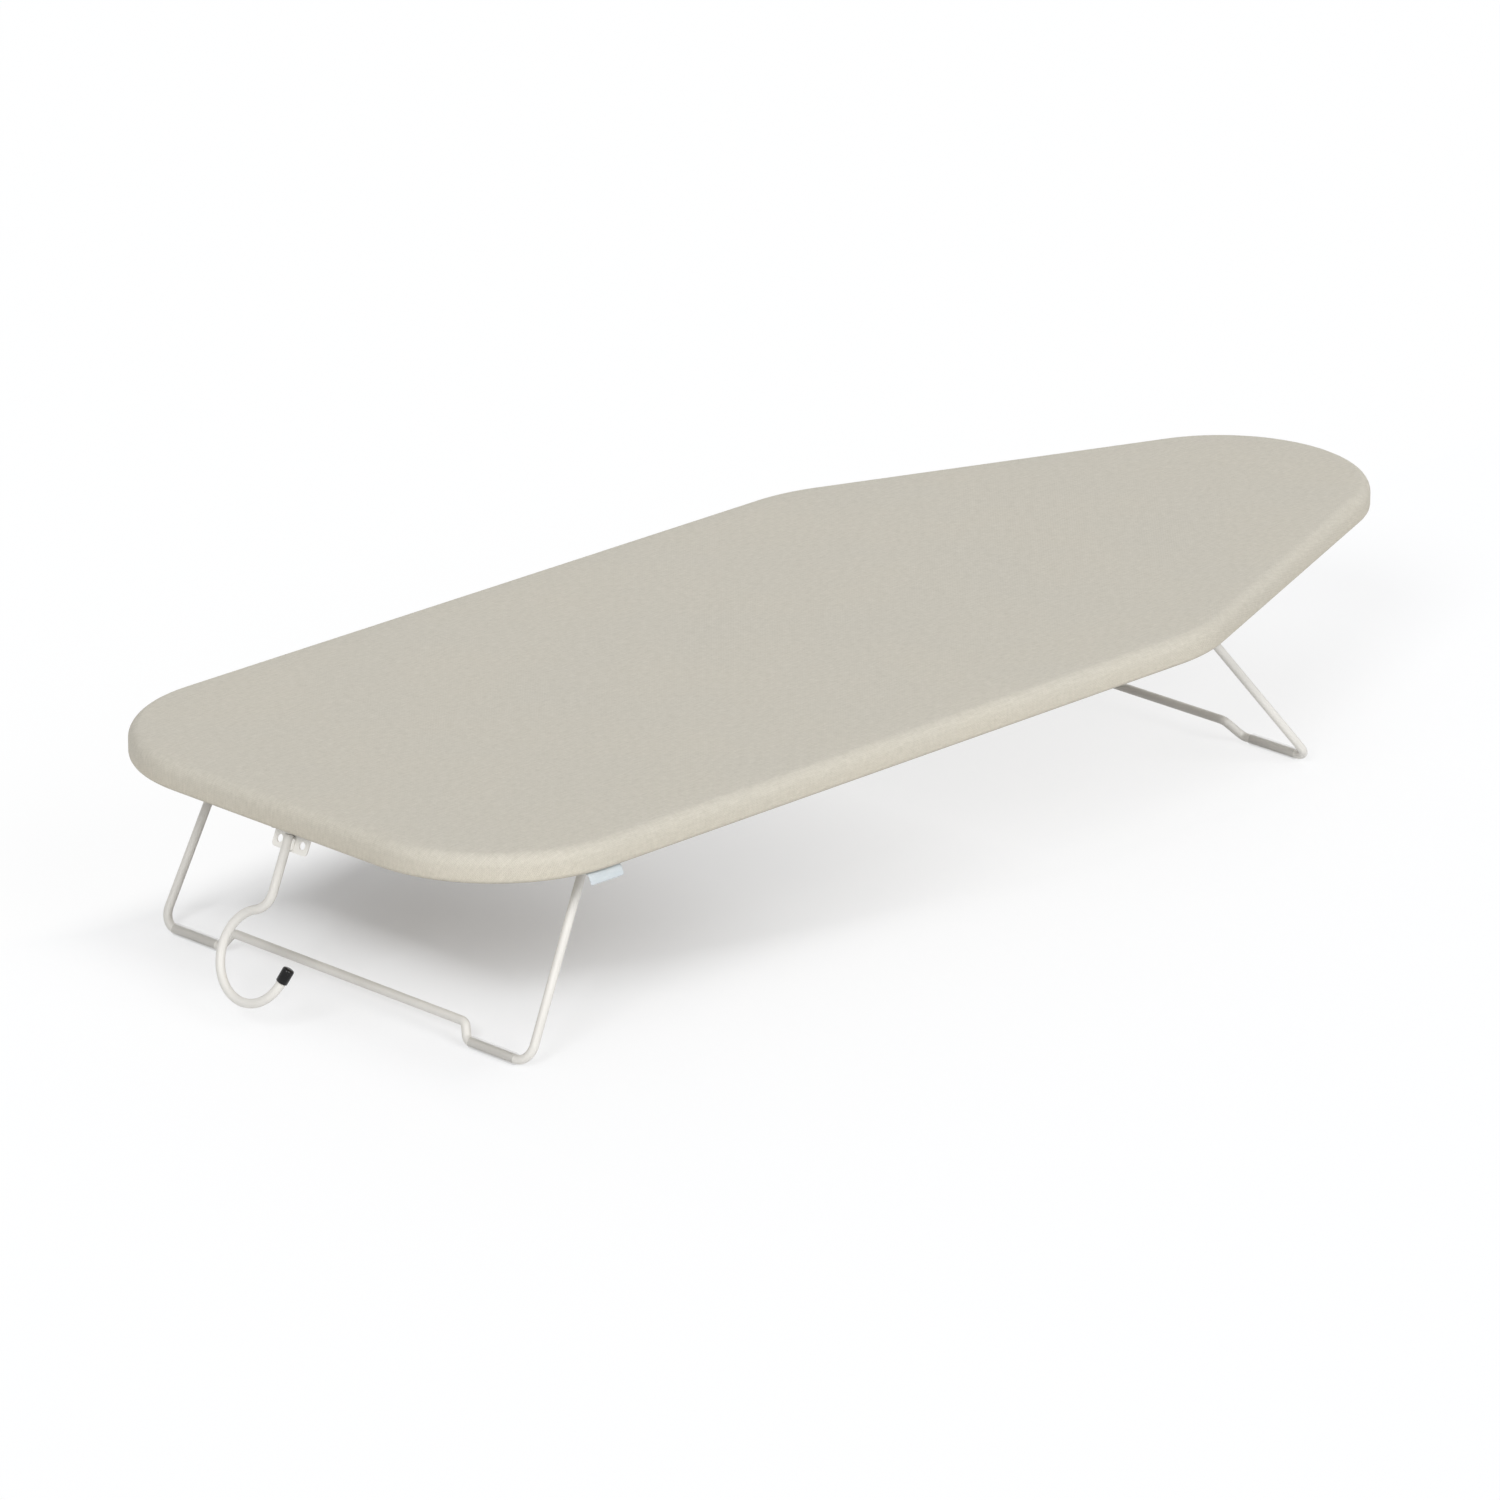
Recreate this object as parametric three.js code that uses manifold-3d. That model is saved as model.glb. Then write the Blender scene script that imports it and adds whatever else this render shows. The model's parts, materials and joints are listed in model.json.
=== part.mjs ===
// Tabletop ironing board: a padded, fabric-covered board on two folding wire legs,
// with a folding hook to hang it by.
// Millimetres, +Z up, X along the board with the nose at +X, and the table top at Z 0.
import * as THREE from "three";
import { mergeVertices } from "three/addons/utils/BufferGeometryUtils.js";
import Module from "manifold-3d";

const wasm = await Module();
wasm.setup();

// Board outline: a square heel, straight sides, and tapered sides that run into one round nose
const boardLength = 740;
const boardWidth = 300;
const heelCornerRadius = 78;
const taperLength = 249.5;
const shoulderRadius = 97;
const noseRadius = 74.5;

// Board build-up, from the hem under the board to the crown of the cover
const clothThickness = 0.9;
const hemWidth = 20;
const deckThickness = 8;
const deckTopRound = 1;
const foamThickness = 4.1;
const topEdgeRadius = 6;
const bottomEdgeRadius = 2.5;
const crownHeight = 0.4;
const crownReach = 60;

// Gaps: a piece against its seat, a piece round a wire or pin, and a screw in its hole
const seatGap = 0.3;
const gripGap = 0.1;
const screwHoleGap = 0.2;

// Wire legs: each leans outwards from its pivot, and its foot bar is stepped up between two sleeved feet
const legWireDiameter = 4.5;
const footDrop = 95.4;
const footBendRadius = 8.8;
const pivotBendRadius = 6;
const stepBendRadius = 4.5;
const stepSlope = 60;
const pivotStub = 17;
const sleeveLength = 30;
const sleeveDiameter = 6.2;
const sleeveChamfer = 0.3;
const heelLegFromEnd = 89.4;
const heelLegLean = 26;
const heelLegInsideHem = 8.1;
const heelLegFootWidening = 6.5;
const heelLegStepHeight = 8.1;
const heelLegBareWire = 0.4;
const noseLegFromEnd = 208.1;
const noseLegLean = 39.5;
const noseLegInsideHem = 15.2;
const noseLegFootWidening = 13.3;
const noseLegStepHeight = 11.4;
const noseLegBareWire = 3.4;

// Saddles that hold the leg pivots under the deck, each with a stop that the open leg leans on
const saddleSheet = 1.2;
const saddleWidth = 8.5;
const saddleFoot = 11;
const stopLength = 11;
const stopMargin = 0.4;

// Pan-head wood screws
const screwDiameter = 3.2;
const screwHeadDiameter = 6.4;
const screwHeadHeight = 1.9;
const screwPoint = 2;
const screwBite = 6.2;

// Hook: a shank, a swan-neck bend and an open loop, welded to a pressed plate that swings on a pin
const hookWireDiameter = 4.6;
const hookLean = 22.9;
const hookFromEnd = 12.7;
const neckDrop = 30.7;
const neckBendRadius = 11.5;
const loopRadius = 22.5;
const loopShort = 19;
const plateSheet = 0.8;
const plateWidth = 24;
const plateDrop = 10.4;
const plateCornerRadius = 2.2;
const plateHoleDiameter = 4;
const plateHoleSpacing = 15.5;
const plateHoleDrop = 5.9;
const knuckleWrap = 255;
const pinDiameter = 2.6;
const pinHeadDiameter = 4.2;
const pinHeadHeight = 0.8;
const bracketSheet = 0.8;
const bracketMargin = 1.5;
const bracketScrewSpacing = 18;
const hingeGap = 0.3;
const earWall = 1;
const earRoot = 4;
const capDiameter = 5.9;
const capLength = 7.6;
const capEnd = 1;
const capRound = 0.6;

// Tag sewn under the front edge of the hem
const tagFromHeel = 64.2;
const tagLength = 21.6;
const tagDrop = 5.8;
const tagLap = 6.5;
const tagThickness = 0.6;
const tagInset = 2;
const tagFlare = 1.8;

// Facets, as turns in degrees or as sides of a round
const outlineStep = 8.6;
const edgeStep = 22.5;
const bendStep = 18;
const wireSides = 10;
const roundSides = 16;

const { degToRad, radToDeg } = THREE.MathUtils;
const legs = [
  {
    name: "heel",
    outward: -1,
    fromEnd: heelLegFromEnd,
    lean: degToRad(heelLegLean),
    insideHem: heelLegInsideHem,
    splay: heelLegFootWidening,
    step: heelLegStepHeight,
    bareWire: heelLegBareWire,
  },
  {
    name: "nose",
    outward: 1,
    fromEnd: noseLegFromEnd,
    lean: degToRad(noseLegLean),
    insideHem: noseLegInsideHem,
    splay: noseLegFootWidening,
    step: noseLegStepHeight,
    bareWire: noseLegBareWire,
  },
];
const legWireRadius = legWireDiameter / 2;
const sleeveRadius = sleeveDiameter / 2;
const hookWireRadius = hookWireDiameter / 2;
const screwHeadRadius = screwHeadDiameter / 2;
const deckBottom = clothThickness + seatGap;
const deckTop = deckBottom + deckThickness;
const padBottom = deckTop + seatGap;
const boardTop = padBottom + foamThickness + seatGap + clothThickness;
const edgeCentre = boardTop - crownHeight - topEdgeRadius;
const shoulderX = boardLength / 2 - taperLength;
const noseCentreX = boardLength / 2 - noseRadius;
const taperAngle =
  Math.atan2(boardWidth / 2, noseCentreX - shoulderX) -
  Math.asin(noseRadius / Math.hypot(boardWidth / 2, noseCentreX - shoulderX));
const pivotZ = deckBottom - seatGap - legWireRadius;
const screwHoleRadius = screwDiameter / 2 + screwHoleGap;

const finishes = {
  cloth: { color: 0xc9c5ba, roughness: 0.95, metalness: 0 },
  foam: { color: 0xe3e0d6, roughness: 1, metalness: 0 },
  fibreboard: { color: 0xa98a63, roughness: 0.8, metalness: 0 },
  paint: { color: 0xe6e3dc, roughness: 0.45, metalness: 0 },
  sleeve: { color: 0xbbb8b1, roughness: 0.35, metalness: 0 },
  rubber: { color: 0x222222, roughness: 0.6, metalness: 0 },
  zinc: { color: 0xb9babb, roughness: 0.35, metalness: 1 },
  tag: { color: 0xd6e0e2, roughness: 0.9, metalness: 0 },
};

function piece(name, geometry, finish) {
  const mesh = new THREE.Mesh(geometry, new THREE.MeshStandardMaterial(finishes[finish]));
  mesh.name = name;
  return mesh;
}

// A closed geometry as a solid that can be joined and cut, and back again
function solid(geometry) {
  const bare = geometry.clone();
  bare.deleteAttribute("normal");
  bare.deleteAttribute("uv");
  const merged = mergeVertices(bare, 1e-4);
  const vertProperties = new Float32Array(merged.attributes.position.array);
  const triVerts = new Uint32Array(merged.index.array);
  return new wasm.Manifold(new wasm.Mesh({ numProp: 3, vertProperties, triVerts }));
}

function surface(body) {
  const { vertProperties, triVerts } = body.getMesh();
  return new THREE.BufferGeometry()
    .setAttribute("position", new THREE.BufferAttribute(vertProperties, 3))
    .setIndex(new THREE.BufferAttribute(triVerts, 1));
}

function point(x, y) {
  return new THREE.Vector2(x, y);
}

function arc(centreX, centreY, radius, from, to, step) {
  const steps = Math.max(1, Math.round(Math.abs(to - from) / step));
  return Array.from({ length: steps + 1 }, (_, i) => {
    const angle = degToRad(from + ((to - from) * i) / steps);
    return point(centreX + radius * Math.cos(angle), centreY + radius * Math.sin(angle));
  });
}

// A flat outline made solid along one axis: its points are (y, z) along x, (x, z) along y, (x, y) along z
function prism(points, axis, from, to) {
  const unitX = new THREE.Vector3(1, 0, 0);
  const unitY = new THREE.Vector3(0, 1, 0);
  const unitZ = new THREE.Vector3(0, 0, 1);
  const frames = {
    x: [unitY, unitZ, unitX],
    y: [unitX, unitZ, unitY.clone().negate()],
    z: [unitX, unitY, unitZ],
  };
  const depth = to - from;
  const geometry = new THREE.ExtrudeGeometry(new THREE.Shape(points), { depth, bevelEnabled: false });
  geometry.translate(0, 0, axis === "y" ? -to : from);
  return geometry.applyMatrix4(new THREE.Matrix4().makeBasis(...frames[axis]));
}

function box(fromX, toX, fromY, toY, fromZ, toZ) {
  const corners = [point(fromX, fromY), point(toX, fromY), point(toX, toY), point(fromX, toY)];
  return prism(corners, "z", fromZ, toZ);
}

function rod(axis, radius, from, to, a, b) {
  return prism(arc(a, b, radius, 0, 360, 360 / roundSides).slice(0, -1), axis, from, to);
}

// A round piece turned about the Y axis, its profile given as [radius, y] pairs
function turned(profile) {
  return new THREE.LatheGeometry(profile.map(([radius, y]) => point(radius, y)), roundSides);
}

// The centre line of a bent wire, sampled at its own points so that the bends stay true
class WireLine extends THREE.Curve {
  constructor(points) {
    super();
    this.points = points;
  }

  getPoint(t, target = new THREE.Vector3()) {
    const place = t * (this.points.length - 1);
    const index = Math.min(Math.floor(place), this.points.length - 2);
    return target.copy(this.points[index]).lerp(this.points[index + 1], place - index);
  }

  getPointAt(u, target) {
    return this.getPoint(u, target);
  }

  getTangentAt(u, target) {
    return this.getTangent(u, target);
  }
}

// A wire in its own plane: line points are (sideways, drop)
function wire(line, radius, plane = 0) {
  const points = line.map((p) => new THREE.Vector3(plane, p.x, -p.y));
  const section = new THREE.Shape(arc(0, 0, radius, 0, 360, 360 / wireSides).slice(0, -1));
  const steps = points.length - 1;
  const extrudePath = new WireLine(points);
  return new THREE.ExtrudeGeometry(section, { steps, extrudePath, bevelEnabled: false });
}

// Straight runs between corners, with each corner rounded to its own bend radius
function bentLine(corners) {
  return corners.flatMap(({ at, bend }, i) => {
    if (!bend) return [at];
    const into = at.clone().sub(corners[i - 1].at).normalize();
    const out = corners[i + 1].at.clone().sub(at).normalize();
    const turn = Math.atan2(into.cross(out), into.dot(out));
    const side = Math.sign(turn);
    const centre = at.clone().addScaledVector(into, -bend * Math.tan(Math.abs(turn) / 2));
    centre.addScaledVector(point(-into.y, into.x), side * bend);
    const from = radToDeg(Math.atan2(-side * into.x, side * into.y));
    return arc(centre.x, centre.y, bend, from, from + radToDeg(turn), bendStep);
  });
}

// The board's outline seen from above, drawn in by an inset
function boardOutline(inset) {
  const taper = radToDeg(taperAngle);
  const heelX = heelCornerRadius - boardLength / 2;
  const heelY = boardWidth / 2 - heelCornerRadius;
  const bendX = shoulderX - shoulderRadius * Math.tan(taperAngle / 2);
  const bendY = boardWidth / 2 - shoulderRadius;
  const rounds = [
    [heelX, -heelY, heelCornerRadius, 180, 270],
    [bendX, -bendY, shoulderRadius, 270, 270 + taper],
    [noseCentreX, 0, noseRadius, taper - 90, 90 - taper],
    [bendX, bendY, shoulderRadius, 90 - taper, 90],
    [heelX, heelY, heelCornerRadius, 90, 180],
  ];
  return rounds.flatMap(([x, y, radius, from, to]) => arc(x, y, radius - inset, from, to, outlineStep));
}

// Half the board's width at a place along it
function halfWidth(x) {
  return boardWidth / 2 - Math.max(0, x - shoulderX) * Math.tan(taperAngle);
}

// A board-shaped solid whose edge profile is a list of (inset, height) points, with flat faces at both ends
function boardLoft(profile) {
  const rings = profile.map((p) => boardOutline(p.x));
  const count = rings[0].length;
  const positions = rings.flatMap((ring, r) => ring.flatMap((p) => [p.x, p.y, profile[r].y]));
  const last = (rings.length - 1) * count;
  const index = [];
  for (let start = 0; start < last; start += count) {
    for (let i = 0; i < count; i++) {
      const next = (i + 1) % count;
      const low = start + count;
      index.push(low + i, low + next, start + next, low + i, start + next, start + i);
    }
  }
  for (const [a, b, c] of THREE.ShapeUtils.triangulateShape(rings[0], [])) {
    index.push(a, b, c);
  }
  for (const [a, b, c] of THREE.ShapeUtils.triangulateShape(rings.at(-1), [])) {
    index.push(last + a, last + c, last + b);
  }
  return new THREE.BufferGeometry()
    .setAttribute("position", new THREE.Float32BufferAttribute(positions, 3))
    .setIndex(index);
}

// The crowned top and its rounded edge, at a depth under the cover's outer face
function topProfile(depth, lowest) {
  const radius = topEdgeRadius - depth;
  const crown = [1, 0.5].map((share) =>
    point(
      topEdgeRadius + share * (crownReach - topEdgeRadius),
      boardTop - depth - crownHeight * (1 - share) ** 2,
    ),
  );
  const rise = Math.max(0, lowest - edgeCentre) / radius;
  const end = 180 - radToDeg(Math.asin(rise));
  return [...crown, ...arc(topEdgeRadius, edgeCentre, radius, 90, end, edgeStep)];
}

// The rounded lower edge, at a depth under the cover's outer face
function bottomProfile(depth) {
  const radius = bottomEdgeRadius - depth;
  return arc(bottomEdgeRadius, bottomEdgeRadius, radius, 180, 270, edgeStep * 1.5);
}

// The fabric cover, pulled round the edge and turned under as a hem
function cover() {
  const outer = [...topProfile(0, 0), ...bottomProfile(0)];
  const inner = [...topProfile(clothThickness, 0), ...bottomProfile(clothThickness)];
  const hem = [point(hemWidth, 0), point(hemWidth, clothThickness)];
  return piece("cover", boardLoft([...outer, ...hem, ...inner.reverse()]), "cloth");
}

// The foam pad between the deck and the cover
function pad() {
  const profile = topProfile(clothThickness + seatGap, padBottom);
  if (edgeCentre > padBottom) profile.push(point(profile.at(-1).x, padBottom));
  return piece("pad", boardLoft(profile), "foam");
}

// The fibreboard deck, with a pilot hole for each screw
function deck(screwPlaces) {
  const edge = deckBottom;
  const top = [point(edge + deckTopRound, deckTop), point(edge, deckTop - deckTopRound)];
  const depth = deckBottom + screwBite + seatGap;
  const board = solid(boardLoft([...top, ...bottomProfile(edge)]));
  const drilled = screwPlaces.reduce(
    (body, p) => body.subtract(solid(rod("z", screwHoleRadius, 0, depth, p.x, p.y))),
    board,
  );
  return piece("deck", surface(drilled), "fibreboard");
}

// A small cloth tag that laps under the hem and hangs from its front edge
function tag() {
  const edgeY = tagInset - boardWidth / 2;
  const outline = [
    point(edgeY, -seatGap),
    point(edgeY - tagFlare, -tagDrop),
    point(edgeY - tagFlare + tagThickness, -tagDrop),
    point(edgeY + tagThickness, -seatGap - tagThickness),
    point(edgeY + tagLap, -seatGap - tagThickness),
    point(edgeY + tagLap, -seatGap),
  ];
  const heelX = tagFromHeel - boardLength / 2;
  return piece("cover_tag", prism(outline, "x", heelX, heelX + tagLength), "tag");
}

// A pan-head screw, driven up into the deck through a sheet whose lower face is at seatZ
function screw(name, x, y, seatZ) {
  const tip = deckBottom - seatZ + screwBite;
  const radius = screwDiameter / 2;
  const geometry = turned([
    [0, -screwHeadHeight],
    [screwHeadRadius * 0.7, -screwHeadHeight],
    [screwHeadRadius, -screwHeadHeight / 2],
    [screwHeadRadius, -gripGap],
    [radius, -gripGap],
    [radius, tip - screwPoint],
    [0, tip],
  ]);
  const mesh = piece(name, geometry.rotateX(Math.PI / 2), "zinc");
  mesh.position.set(x, y, seatZ);
  return mesh;
}

// The sizes of one leg that follow from its pivot, lean and foot
function legShape(leg) {
  const pivotX = leg.outward * (boardLength / 2 - leg.fromEnd);
  const reach = (footDrop + pivotZ) / Math.cos(leg.lean);
  const pivotHalf = halfWidth(pivotX) - hemWidth - leg.insideHem;
  const footHalf = pivotHalf + leg.splay;
  const cornerTurn = Math.PI / 2 + Math.atan2(leg.splay, reach);
  const sleeveEnd = footHalf - footBendRadius * Math.tan(cornerTurn / 2);
  const stepStart = sleeveEnd - sleeveLength - leg.bareWire;
  return { pivotX, reach, pivotHalf, footHalf, sleeveEnd, stepStart };
}

// The bent wire of a leg: pivot stubs turned in, splayed sides, and a foot bar stepped up in the middle
function legWire(leg, shape) {
  const { reach, pivotHalf, footHalf, stepStart } = shape;
  const stepLow = stepStart - stepBendRadius * Math.tan(degToRad(stepSlope / 2));
  const stepHigh = stepLow - leg.step / Math.tan(degToRad(stepSlope));
  const half = [
    { at: point(pivotHalf - pivotStub, 0) },
    { at: point(pivotHalf, 0), bend: pivotBendRadius },
    { at: point(footHalf, reach), bend: footBendRadius },
    { at: point(stepLow, reach), bend: stepBendRadius },
    { at: point(stepHigh, reach - leg.step), bend: stepBendRadius },
  ];
  const other = half.map(({ at, bend }) => ({ at: point(-at.x, at.y), bend })).reverse();
  return piece(`${leg.name}_leg_wire`, wire(bentLine([...half, ...other]), legWireRadius), "paint");
}

function footSleeve(name) {
  const bore = legWireRadius + gripGap;
  const end = sleeveLength / 2;
  const profile = [
    [bore, -end],
    [sleeveRadius - sleeveChamfer, -end],
    [sleeveRadius, sleeveChamfer - end],
    [sleeveRadius, end - sleeveChamfer],
    [sleeveRadius - sleeveChamfer, end],
    [bore, end],
    [bore, -end],
  ];
  return piece(name, turned(profile), "sleeve");
}

const sides = [
  { name: "front", sign: -1 },
  { name: "back", sign: 1 },
];

// One leg with its two foot sleeves, in a group that turns about the pivot
function legGroup(leg, shape) {
  const group = new THREE.Group();
  group.position.set(shape.pivotX, 0, pivotZ);
  group.rotation.y = -leg.outward * leg.lean;
  group.add(legWire(leg, shape));
  for (const side of sides) {
    const sleeve = footSleeve(`${leg.name}_foot_sleeve_${side.name}`);
    sleeve.position.set(0, side.sign * (shape.sleeveEnd - sleeveLength / 2), -shape.reach);
    sleeve.rotation.y = -group.rotation.y;
    group.add(sleeve);
  }
  return group;
}

// Where a saddle lies across the board, and how far its arch and screws reach from the pivot
function saddlePlace(shape) {
  const outer = shape.pivotHalf - pivotBendRadius - 3 * seatGap;
  const middle = outer - saddleWidth / 2;
  const arch = legWireRadius + gripGap + saddleSheet;
  return { outer, middle, arch, screwReach: arch + saddleFoot / 2 };
}

// A stretch of Y from a to b, on the front or the back side
function span(side, a, b) {
  return [Math.min(side.sign * a, side.sign * b), Math.max(side.sign * a, side.sign * b)];
}

// A strap over a pivot stub, with a stop tongue bent down along the outer side of the open leg
function saddle(leg, shape, side) {
  const { outer, middle, arch, screwReach } = saddlePlace(shape);
  const top = legWireRadius;
  const low = top - saddleSheet;
  const bore = arch - saddleSheet;
  const reach = arch + saddleFoot;
  const strap = [
    point(-reach, top),
    point(-bore, top),
    ...arc(0, 0, bore, 180, 360, bendStep),
    point(bore, top),
    point(reach, top),
    point(reach, low),
    point(arch, low),
    ...arc(0, 0, arch, 360, 180, bendStep),
    point(-arch, low),
    point(-reach, low),
  ];
  const lean = leg.lean;
  const beside = (offset, drop) =>
    point(
      leg.outward * (offset * Math.cos(lean) + drop * Math.sin(lean)),
      offset * Math.sin(lean) - drop * Math.cos(lean),
    );
  const dropTo = (offset, z) => (offset * Math.sin(lean) - z) / Math.cos(lean);
  const face = legWireRadius + seatGap;
  const back = face + saddleSheet;
  const tongue = [
    beside(face, dropTo(face, top)),
    beside(face, stopLength),
    beside(back, stopLength),
    beside(back, dropTo(back, low)),
    point(leg.outward * reach, low),
    point(leg.outward * reach, top),
  ];
  const stopEnd = shape.pivotHalf + legWireRadius + stopMargin;
  const sheet = solid(prism(strap, "y", ...span(side, outer - saddleWidth, outer))).add(
    solid(prism(tongue, "y", ...span(side, outer - saddleSheet, stopEnd))),
  );
  const drilled = [-screwReach, screwReach].reduce(
    (body, x) => body.subtract(solid(rod("z", screwHoleRadius, -arch, arch, x, side.sign * middle))),
    sheet,
  );
  const mesh = piece(`${leg.name}_saddle_${side.name}`, surface(drilled), "paint");
  mesh.position.set(shape.pivotX, 0, pivotZ);
  return mesh;
}

// The two screws of a saddle, one on each side of the pivot
function saddleScrews(leg, shape, side) {
  const { middle, screwReach } = saddlePlace(shape);
  const seatZ = pivotZ + legWireRadius - saddleSheet;
  return [
    { name: "outer", x: shape.pivotX + leg.outward * screwReach },
    { name: "inner", x: shape.pivotX - leg.outward * screwReach },
  ].map(({ name, x }) => {
    const screwName = `${leg.name}_saddle_${side.name}_screw_${name}`;
    return screw(screwName, x, side.sign * middle, seatZ);
  });
}

// Hook hinge: sizes that follow from the pin, the sheet and the wire
const knuckleBore = pinDiameter / 2 + gripGap;
const knuckleRadius = knuckleBore + plateSheet;
const hookX = hookFromEnd - boardLength / 2;
const hookZ = -seatGap - bracketSheet - hingeGap - knuckleRadius;
const hookGrip = hookWireRadius + gripGap;
const hookPlane = knuckleBore - hookGrip;
const hingeReach = knuckleRadius + hingeGap;
const earInner = plateWidth / 2 + seatGap;
const earOuter = earInner + bracketSheet;
const bracketScrewX =
  Math.max(hemWidth - boardLength / 2, hookX + plateDrop) + screwHeadRadius + bracketMargin;
const bracketScrewY = bracketScrewSpacing / 2;
const bracketSeatZ = -seatGap - bracketSheet;

// The bracket under the heel: a flange with two ears that carry the pin
function hookBracket() {
  const earRadius = knuckleBore + earWall;
  const end = bracketScrewX + screwHeadRadius + bracketMargin;
  const flange = solid(box(hookX, end, -earOuter, earOuter, bracketSeatZ, -seatGap));
  const ear = [
    point(hookX - earRadius, -seatGap),
    ...arc(hookX, hookZ, earRadius, 180, 360, bendStep),
    point(hookX + earRadius + earRoot, -seatGap),
  ];
  const ears = sides.map((side) => solid(prism(ear, "y", ...span(side, earInner, earOuter))));
  const pinHole = solid(rod("y", knuckleBore, -plateWidth, plateWidth, hookX, hookZ));
  const screwHoles = sides.map(({ sign }) =>
    solid(rod("z", screwHoleRadius, 2 * bracketSeatZ, seatGap, bracketScrewX, sign * bracketScrewY)),
  );
  const joined = ears.reduce((body, part) => body.add(part), flange);
  const drilled = [pinHole, ...screwHoles].reduce((body, cut) => body.subtract(cut), joined);
  return piece("hook_bracket", surface(drilled), "paint");
}

function hookBracketScrews() {
  return sides.map(({ name, sign }) =>
    screw(`hook_bracket_screw_${name}`, bracketScrewX, sign * bracketScrewY, bracketSeatZ),
  );
}

// The hinge pin, headed at both ends
function hookPin() {
  const radius = pinDiameter / 2;
  const headRadius = pinHeadDiameter / 2;
  const neck = earOuter + gripGap;
  const end = neck + pinHeadHeight;
  const profile = [
    [0, -end],
    [headRadius, -end],
    [headRadius, -neck],
    [radius, -neck],
    [radius, neck],
    [headRadius, neck],
    [headRadius, end],
    [0, end],
  ];
  const mesh = piece("hook_pin", turned(profile), "zinc");
  mesh.position.set(hookX, 0, hookZ);
  return mesh;
}

// The pressed plate: rolled round the pin, with two holes beside the shank that is welded to its front
function hookPlate() {
  const half = plateWidth / 2;
  const corner = plateCornerRadius;
  const knuckle = [
    ...arc(0, 0, knuckleRadius, -bendStep / 2, knuckleWrap, bendStep),
    ...arc(0, 0, knuckleBore, knuckleWrap, -bendStep / 2, bendStep),
  ];
  const outline = [
    point(half, hingeReach),
    point(-half, hingeReach),
    ...arc(corner - half, corner - plateDrop, corner, 180, 270, bendStep),
    ...arc(half - corner, corner - plateDrop, corner, 270, 360, bendStep),
  ];
  const pressed = solid(box(knuckleBore, knuckleRadius, -half, half, -plateDrop, 0))
    .add(solid(prism(knuckle, "y", -half, half)))
    .intersect(solid(prism(outline, "x", -hingeReach, hingeReach)));
  const drilled = sides.reduce((body, side) => {
    const across = (side.sign * plateHoleSpacing) / 2;
    const hole = rod("x", plateHoleDiameter / 2, 0, hingeReach, across, -plateHoleDrop);
    return body.subtract(solid(hole));
  }, pressed);
  return piece("hook_plate", surface(drilled), "paint");
}

// The hook's wire and its end cap, in the plane of the hook
function hookWire() {
  const tangentAngle = radToDeg(Math.asin(neckBendRadius / (loopRadius + neckBendRadius)));
  const loopDrop = neckDrop + (loopRadius + neckBendRadius) * Math.cos(degToRad(tangentAngle));
  const loopEnd = 180 - loopShort;
  const neck = arc(neckBendRadius, neckDrop, neckBendRadius, 180, 90 + tangentAngle, bendStep);
  const loop = arc(0, loopDrop, loopRadius, tangentAngle - 90, loopEnd, bendStep / 2);
  const end = loop.at(-1);
  const heading = point(-Math.sin(degToRad(loopEnd)), Math.cos(degToRad(loopEnd)));
  const tip = end.clone().addScaledVector(heading, capLength - capEnd);
  const line = [point(0, hingeReach), ...neck, ...loop.slice(1), tip];
  const mouth = end.clone().addScaledVector(heading, seatGap);
  return { body: piece("hook_wire", wire(line, hookWireRadius, hookPlane), "paint"), mouth, heading };
}

function hookCap(mouth, heading) {
  const radius = capDiameter / 2;
  const geometry = turned([
    [0, capLength - capEnd],
    [hookGrip, capLength - capEnd],
    [hookGrip, 0],
    [radius, 0],
    [radius, capLength - capRound],
    [radius - capRound, capLength],
    [0, capLength],
  ]);
  const mesh = piece("hook_cap", geometry, "rubber");
  mesh.position.set(hookPlane, mouth.x, -mouth.y);
  const along = new THREE.Vector3(0, heading.x, -heading.y);
  mesh.quaternion.setFromUnitVectors(new THREE.Vector3(0, 1, 0), along);
  return mesh;
}

function hookGroup() {
  const group = new THREE.Group();
  group.position.set(hookX, 0, hookZ);
  group.rotation.y = degToRad(hookLean);
  const { body, mouth, heading } = hookWire();
  group.add(hookPlate(), body, hookCap(mouth, heading));
  return group;
}

// The whole board, standing with its feet on the table and its box centred over the origin
const board = new THREE.Group();
for (const leg of legs) {
  const shape = legShape(leg);
  board.add(legGroup(leg, shape));
  for (const side of sides) board.add(saddle(leg, shape, side), ...saddleScrews(leg, shape, side));
}
board.add(hookBracket(), ...hookBracketScrews(), hookPin(), hookGroup());
const screws = board.children.filter((child) => child.name.includes("screw"));
board.add(deck(screws.map((child) => child.position)), pad(), cover(), tag());

const extent = new THREE.Box3().setFromObject(board, true);
board.position.set(-(extent.min.x + extent.max.x) / 2, 0, footDrop + sleeveRadius);
const ironingBoard = new THREE.Group();
ironingBoard.add(board);

export default ironingBoard;
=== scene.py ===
import json
import math
import bpy
import bmesh
from mathutils import Matrix, Vector


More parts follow.
